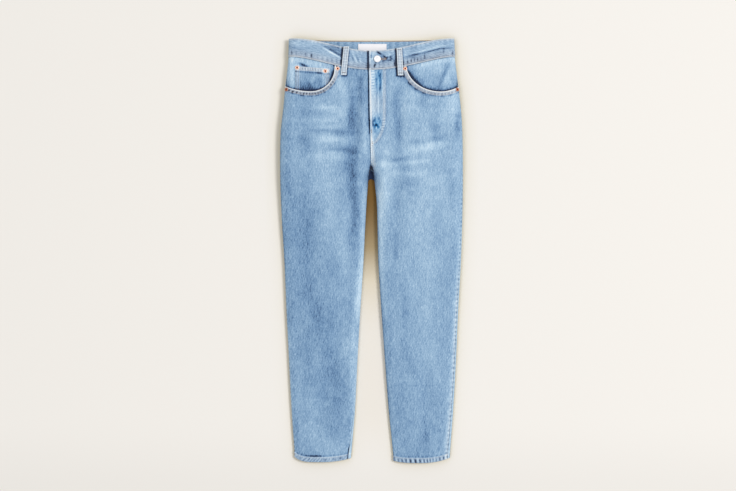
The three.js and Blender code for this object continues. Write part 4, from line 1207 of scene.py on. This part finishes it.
def frontBandWashAndShade(side, down, along):
    x, low, high = onFrontBand(side, down, along)
    level = 0.04 + 0.36 * near(low - 0.8, 1.4) + 0.42 * near(high - 0.8, 1.4) - 0.25 * near(low - 3.6, 1.4)
    ticks = seamWave(x, 91, 11)
    marked = 0.12 * ticks + 1.2 * np.clip(ticks - 0.35, 0, 1)
    level -= marked * near(low - 9.5, 5) * (0.8 + 0.6 * ripple(x / 24, 0, 92))
    level += 0.22 * seamWave(x, 93, 12) * near(high - 5, 4) + 0.16 * ripple(x / 20, down / 12, 94)
    # painted shade in the band's creases
    level -= (0.50 if side < 0 else 0.85) * blots(bandCreases, "deep", x, down)
    level += loopShadeAndDye(x, down) + blots(bandMarks, "amount", x, down) - 0.16 * near(low - 8, 9)
    level -= 0.13 if side > 0 else 0.06
    if side < 0:
        # painted highlight on one side of the crease at x = -96 and painted shade on its other side
        lean = math.radians(-60)
        below = (x + 96) * math.cos(lean) + (down - 30) * math.sin(lean)
        level += 1.0 * near(below + 4.2, 1.9) * near(x + 96, 24)
        level -= 0.45 * ease(-116, -78, x) * between(-3.5, -0.5, 12, 22, below) * (x < -60)
        # painted shadow beside the overlapping end of the left band
        level -= 1.5 * near(x + 8.4, 2.4)
    else:
        # painted shadow at the very end of the band, over the slit at the middle
        level += 0.85 * near(x + 3.4, 1.5) + 0.25 * near(x - 5, 11) - 1.2 * near(x + 7.0, 1.4)
        knots = ripple(x / 4.5, down / 5, 95)
        level -= 1.1 * np.clip(knots, 0, 1) * near(np.hypot((x - 36) / 1.5, down - 51), 12)
        # painted highlight beside the band's creases
        level += 0.45 * near((x - 104) * 0.25 + (down - 40) + 4.4, 1.9) * near(x - 132, 58)
    return level


def frontBandBare(side, down, along):
    x, low, high = onFrontBand(side, down, along)
    return np.clip(0.15 + near(low, 5) + 0.4 * near(low - 10, 8) + 0.7 * near(high, 4), 0, 1)


bandThick = waistband["out"] + waistband["into"]
for side, hand, width, area in ((-1, "Right", 0.245, 0.0106), (1, "Left", 0.224, 0.0098)):
    piece = dict(name="waistband" + hand, flat=(width, 0.048), area=area, restsOn=["front" + hand],
                 thick=bandThick, rounded=waistband["rounded"])
    clothSheet(piece, side, 150, 32, frontBandPlace, frontBandOut, frontBandWashAndShade, "across", frontBandBare)


def backWaistTop(q):
    return waistband["backTop"] * dipShare(q, 0.6)


def backBandPlace(side, lower, across):
    share = np.abs(2 * across - 1)
    roundShare = 4 / 9

    def at(down):
        s = section(side, down)
        t = (share - 1 + roundShare) / roundShare
        return np.where(share > 1 - roundShare, mix(s.startUnder, s.edge + garment["seamGap"] / 2, t),
                        mix(underAt(side, down, 0.0), s.startUnder, share / (1 - roundShare)))

    q = reachOf(side, levels["backBand"], at(levels["backBand"]))
    down = mix(backWaistTop(q), backWaistSeam(q), lower)
    return down, at(down)


def backBandWash(side, down, along):
    q = reachOf(side, down, along)
    return -0.04 + 0.4 * near(down - backWaistTop(q), 1.5) + 0.2 * seamWave(q, 97, 11)


backBandOut = evenly(waistband["out"])
backBand = dict(name="waistbandBack", flat=(0.425, 0.044), area=0.0182, thick=bandThick,
                rounded=waistband["rounded"], restsOn=["floor"], midline=True, reversed=True, paint="inside")
clothSheet(backBand, lambda across: np.where(across < 0.5, -1, 1), 180, 18, backBandPlace, backBandOut,
           backBandWash, "across")
print("waistband sewn")


# Belt loops
def loopPlace(side, lower, across):
    use = frontLoops[side]
    down = mix(use["top"], use["bottom"], lower)
    return down, mix(use["topQ"], use["bottomQ"], lower) + (across - 0.5) * loop["width"]


def loopOut(side, down, along):
    use = frontLoops[side]
    t = np.clip((down - use["top"]) / (use["bottom"] - use["top"]), 0, 1)
    level = waistband["out"] + garment["seamGap"] - blots(bandCreases, "deep", side * along, down)
    return np.maximum(level, frontPanel["flyOut"]) + loop["bow"] * np.sin(math.pi * t) + loop["thick"]


def loopWash(side, down, along):
    use = frontLoops[side]
    t = (down - use["top"]) / (use["bottom"] - use["top"])
    centre = mix(use["topQ"], use["bottomQ"], t)
    beside = loop["width"] / 2 - np.abs(along - centre)
    level = 0.22 + 0.45 * near(beside, 1.3) - 0.4 * near(beside - 3.4, 1.0) + 0.2 * seamWave(down, 99, 7)
    return level + 0.5 * near(t, 0.03) + 0.5 * near(1 - t, 0.03)


for side, hand in hands:
    piece = dict(frontLoops[side], flat=(0.013, 0.07), area=0.0009, thick=loop["thick"],
                 rounded=loop["rounded"], restsOn=["waistband" + hand])
    clothSheet(piece, side, 14, 60, loopPlace, loopOut, loopWash, bare=lambda *place: 0.8)

backLoop = dict(fromTop=6, length=58, apart=112)
for name, step in (("beltLoopBackRight", -1), ("beltLoopBackMiddle", 0), ("beltLoopBackLeft", 1)):
    loopX = step * backLoop["apart"]
    loopY = garment["length"] / 2 - backLoop["fromTop"] - backLoop["length"] / 2
    made = flatSheet(name, 10, 40,
                     lambda x, y: (loopX + x * loop["width"], loopY + y * backLoop["length"], 0.0),
                     paints["denim"], "denim", nodeOf(name), loop["thick"], True,
                     wash=lambda spot: 0.2 + 0.4 * near(loop["width"] / 2 - abs(spot.x - loopX), 1.3))
print("belt loops sewn")

# Label
label = dict(centre=2, width=68.5, height=34, top=11.5, thick=0.6, lift=0.35, clear=0.25)
labelLevel = garment["waistLift"] + waistband["into"] + garment["seamGap"] + label["thick"]


def labelPlace(share, upper):
    x, y = label["centre"] + share * label["width"], upper * label["height"]
    lift = label["lift"] * math.sin(x / 9.0) * math.cos(y / 12.0) ** 2 + label["clear"]
    return x, garment["length"] / 2 - label["top"] - label["height"] / 2 + y, labelLevel + max(lift, 0)


made = flatSheet("waistLabel", 48, 20, labelPlace, paints["tape"], "label", "label", label["thick"])
print("label sewn")


# Button and rivets are spun from their profiles
def spun(name, node, profile, side, down, q, out, materials, slot, steps, darkWithin=0.0):
    bm = bmesh.new()
    line = [bm.verts.new((r * mm, 0, h * mm)) for r, h in profile]
    edges = [bm.edges.new(pair) for pair in zip(line, line[1:])]
    bmesh.ops.spin(bm, geom=line + edges, cent=(0, 0, 0), axis=(0, 0, 1), angle=2 * math.pi, steps=steps,
                   use_merge=True)
    bmesh.ops.remove_doubles(bm, verts=bm.verts[:], dist=0.00001)
    bmesh.ops.recalc_face_normals(bm, faces=bm.faces[:])
    for face in bm.faces:
        reach = face.calc_center_median().xy.length / mm
        face.material_index = 1 if reach < darkWithin and face.normal.z > 0 else 0
    along = overAt(side, down, q)
    normal = Vector(outward(side, down, along))
    place = Vector(skin(side, down, along)) + normal * out
    turn = Vector((0, 0, 1)).rotation_difference(normal).to_matrix().to_4x4()
    bmesh.ops.transform(bm, matrix=Matrix.Translation(place * mm) @ turn, verts=bm.verts[:])
    return asPiece(name, bm, materials, [node])


# radius and height of each turn, from the foot to the middle of the top
button = dict(down=50.5, q=14, steps=56, profile=[
    (0, 0), (3.4, 0), (3.4, 1.3), (7.4, 1.5), (8.0, 1.8), (8.3, 2.4), (8.2, 2.95), (7.7, 3.4), (7.0, 3.65),
    (6.2, 3.7), (5.7, 3.5), (5.3, 3.3), (4.6, 3.35), (3.2, 3.6), (1.6, 3.78), (0, 3.84)])
spun("shankButton", "button", button["profile"], 1, button["down"], button["q"],
     waistband["out"] + garment["seamGap"], [paints["steel"]], "button", button["steps"])
rivet = dict(centre=2.0, steps=32, profile=[
    (0, 0), (4.6, 0), (4.65, 0.35), (4.45, 0.85), (4.0, 1.2), (3.3, 1.35), (2.6, 1.2), (2.1, 0.85),
    (1.7, 0.75), (1.4, 0.85), (1.2, 1.5), (0.9, 1.85), (0.45, 1.7), (0, 1.45)])
onFacing = garment["cloth"] + 2 * garment["seamGap"] - facing["sink"]
onBand = frontPanel["bandOut"] + garment["seamGap"]
rivets = [("rivetCoinOuter", "coinOuter", onFacing + 0.3), ("rivetCoinInner", "coinInner", onFacing),
          ("rivetPocketRightInner", "rightInner", onBand), ("rivetPocketLeftInner", "leftInner", onBand),
          ("rivetPocketRightSide", "rightSide", onBand), ("rivetPocketLeftSide", "leftSide", onBand)]
for name, place, out in rivets:
    ring = paints["copperDull" if place.endswith("Side") else "copper"]
    spun(name, nodeOf(name), rivet["profile"], *rivetPlaces[place], out, [ring, paints["copperDark"]],
         "rivet", rivet["steps"], rivet["centre"])
print("button and rivets set")


# Sewing: how far each row of stitches lies from its edge or seam
rowsIn = dict(pocket=(2.2, 8.2), coin=(2.0, 7.5), fly=(1.7, 5.6), band=2.2, hem=10.2, yoke=(2.2, 8.0),
              backPocket=(2.0, 8.0), seat=(1.4, 7.4))


def threads(name, paint="thread"):
    # an empty mesh for stitches, and what makes a piece of it once it is filled
    bm = bmesh.new()

    def finish():
        asPiece(name, bm, [paints[paint]])
        print(f"{name} sewn")

    return bm, finish


def pocketRow(side, offset):
    pocket = pockets[side]
    turn = np.linspace(0.02, math.pi - 0.5, 160)
    reach = np.where(turn < rightAngle, pocket["reach"], pocket["sideReach"])
    q = pocket["middle"] - (reach + offset) * np.cos(turn)
    down = pocket["top"] + (pocket["depth"] + offset) * np.sin(turn)
    outer = read(sections[side], "outer", down)
    keep = (down > waistSeam(side, q) + 1.5) & (q < outer - 1)
    return down[keep], overAt(side, down[keep], q[keep])


bm, finish = threads("threadPockets")
for side in (-1, 1):
    for offset in rowsIn["pocket"]:
        rowOnSkin(bm, side, *pocketRow(side, offset), frontOut)
coinDown = np.linspace(0, 1, 60)
for inset in rowsIn["coin"]:
    for q in (coin["inner"] + inset, coin["outer"] - inset):
        down = mix(coinTop(q) + 1.5, coin["bottom"] - 14, coinDown)
        rowOnSkin(bm, -1, down, overAt(-1, down, q), coinOut)
    q = np.linspace(coin["inner"] + 1.5, coin["outer"] - 1.5, 60)
    rowOnSkin(bm, -1, coinTop(q) + inset, overAt(-1, coinTop(q) + inset, q), coinOut)
finish()

bm, finish = threads("threadFly")
f = frontPanel
turn = np.linspace(0, rightAngle, 60)
straight = np.linspace(float(waistSeam(1, 30.0)) + 1.5, f["flyStraight"], 50)
for inset in rowsIn["fly"]:
    reach, curve = f["flyWidth"] - inset, f["flyEnd"] - inset - f["flyStraight"]
    down = np.r_[straight, f["flyStraight"] + curve * np.sin(turn)]
    q = np.r_[np.full(len(straight), reach), reach * np.cos(turn)]
    keep = q > read(middle, "x", down) + 1.5
    rowOnSkin(bm, 1, down[keep], q[keep], frontOut)
for inset, low, high in ((3.8, 79, 249), (1.8, 256, 311), (6.4, 256, 308)):
    down = np.linspace(low, high, 80)
    rowOnSkin(bm, 1, down, read(middle, "x", down) + inset, frontOut)
finish()

bm, finish = threads("threadWaistband")
for side, startQ in ((-1, 8.5), (1, -5.4)):
    q = np.linspace(startQ, 196, 140)
    for down in (waistSeam(side, q) - rowsIn["band"], waistTop(side, q) + rowsIn["band"]):
        rowOnSkin(bm, side, down, overAt(side, down, q), frontBandOut)
    backQ = np.linspace(1, 195, 120)
    for down in (backWaistSeam(backQ) - rowsIn["band"], backWaistTop(backQ) + rowsIn["band"]):
        rowOnSkin(bm, side, down, underAt(side, down, np.minimum(backQ, 180)), backBandOut)
down = np.linspace(32.5, 72.5, 40)
rowOnSkin(bm, 1, down, np.full(40, -3.4), frontBandOut)
finish()


# binding along the inside of the back waistband
bm, finish = threads("threadWaistInside", "binding")
for side in (-1, 1):
    q = np.linspace(1, 150, 90)
    down = backWaistTop(q) + 0.6
    along = underAt(side, down, q)
    normals = -outward(side, down, along)
    points = skin(side, down, along) + normals * (waistband["into"] + 0.05)
    sewRow(bm, points, normals, pitch=2.2, length=2.7, width=2.8)
finish()

bm, finish = threads("threadHems")
for side in (-1, 1):
    for place, out in ((frontPlace, frontOut), (backPlace, backOut)):
        down, along = place(side, np.ones(160), np.linspace(0.001, 0.999, 160))
        rowOnSkin(bm, side, down - rowsIn["hem"], along, out)
finish()

bm, finish = threads("threadBack")
for side in (-1, 1):
    q = np.linspace(1.5, 196, 110)
    for offset in rowsIn["yoke"]:
        down = yokeSeam(q) + offset
        rowOnSkin(bm, side, down, underAt(side, down, np.minimum(q, 188)), onSkin, height=0.3)
    b = backPocket
    for inset in rowsIn["backPocket"]:
        # down one side of the pocket, round its point, up the other, then along its top
        corner = b["bottom"] - inset
        down = [b["top"], corner, corner + b["point"], corner, b["top"]]
        q = [b["outer"] - inset, b["outer"] - b["taper"] - inset, (b["inner"] + b["outer"]) / 2,
             b["inner"] + b["taper"] + inset, b["inner"] + inset]
        steps = np.linspace(0, 4, 240)
        for down, q in ((np.interp(steps, range(5), down), np.interp(steps, range(5), q)),
                        (np.full(60, b["top"] + 1 + inset), np.linspace(b["inner"] + 2, b["outer"] - 2, 60))):
            rowOnSkin(bm, side, down, underAt(side, down, q), backPocketOut, height=0.3)
for inset in rowsIn["seat"]:
    down = np.linspace(131, 336, 120)
    rowOnSkin(bm, 1, down, underAt(1, down, inset), onSkin, height=0.3)
finish()

bm, finish = threads("threadLoops")
for side in (-1, 1):
    lower = np.linspace(0.02, 0.98, 50)
    for across in (0.24, 0.76):
        down, along = loopPlace(side, lower, np.full(50, across))
        rowOnSkin(bm, side, down, along, loopOut)
finish()

tack = dict(across=True, pitch=0.5, length=1.7, width=0.5, height=0.5)
bm, finish = threads("bartacks", "tack")
for side in (-1, 1):
    for lower in (0.055, 0.915):
        down, along = loopPlace(side, np.full(12, lower), np.linspace(0.14, 0.86, 12))
        rowOnSkin(bm, side, down, along, loopOut, **tack)
flyTack, endTack = np.linspace(218, 228, 12), np.linspace(248, 258, 12)
rowOnSkin(bm, 1, flyTack, read(middle, "x", flyTack) + 4, frontOut, **tack)
rowOnSkin(bm, 1, endTack, np.full(12, 1.0), frontOut, **tack)
finish()

hole = dict(x=25, down=button["down"], reach=9.5, half=1.7, slitFrom=16, slitTo=34.5)
bm, finish = threads("buttonholeThread", "binding")
angle = np.linspace(0, 2 * math.pi, 90)
holeX = hole["x"] + hole["reach"] * np.clip(1.25 * np.cos(angle), -1, 1)
holeDown = hole["down"] + hole["half"] * np.clip(1.6 * np.sin(angle), -1, 1)
rowOnSkin(bm, 1, holeDown, holeX, frontBandOut, across=True, pitch=0.7, length=2.4, width=0.6, height=0.55)
finish()

# painted shadow: dark beads along the buttonhole's slit stand for the shade inside it
bm, finish = threads("buttonholeSlitShadow", "slit")
rowOnSkin(bm, 1, np.full(20, hole["down"]), np.linspace(hole["slitFrom"], hole["slitTo"], 20), frontBandOut,
          pitch=4, length=5, width=1.2, height=0.3)
finish()

# Floor, light and camera
room = dict(floorHalf=4.0, floorDrop=0.0006, air=(255, 252, 247), airStrength=0.44, lamp=(253, 252, 254))
floor = bpy.data.objects.new("floor", bpy.data.meshes.new("floor"))
bpy.context.collection.objects.link(floor)
bm = bmesh.new()
bmesh.ops.create_grid(bm, x_segments=4, y_segments=4, size=room["floorHalf"])
bmesh.ops.translate(bm, verts=bm.verts[:], vec=(0, 0, -room["floorDrop"]))
bm.to_mesh(floor.data)
bm.free()
floor.data.materials.append(floorPaint())

world = bpy.data.worlds.new("room")
bpy.context.scene.world = world
world.use_nodes = True
air = world.node_tree.nodes["Background"].inputs
air["Color"].default_value, air["Strength"].default_value = shade(*room["air"]), room["airStrength"]


def areaLight(name, place, size, power):
    # a round lamp that faces the middle of the garment
    lamp = bpy.data.lights.new(name, "AREA")
    lamp.shape, lamp.size, lamp.energy, lamp.color = "DISK", size, power, shade(*room["lamp"])[:3]
    made = bpy.data.objects.new(name, lamp)
    made.location = place
    made.rotation_euler = (-Vector(place)).to_track_quat("-Z", "Y").to_euler()
    bpy.context.collection.objects.link(made)


areaLight("windowLight", (5.6, 1.7, 8.6), 3.6, 620)
areaLight("roomLight", (-3.2, -1.5, 10.5), 8.0, 390)

# height of the camera and what its picture spans at the height of the cloth, in metres
view = dict(height=4.0, width=1.7664, x=-0.0084, y=0.01296, above=0.02, sensor=36)
cameraData = bpy.data.cameras.new("camera")
cameraData.sensor_fit, cameraData.sensor_width = "HORIZONTAL", view["sensor"]
cameraData.lens = view["sensor"] * (view["height"] - view["above"]) / view["width"]
camera = bpy.data.objects.new("camera", cameraData)
camera.location = (view["x"], view["y"], view["height"])
bpy.context.collection.objects.link(camera)
bpy.context.scene.camera = camera
bpy.context.scene.view_settings.view_transform = "Standard"
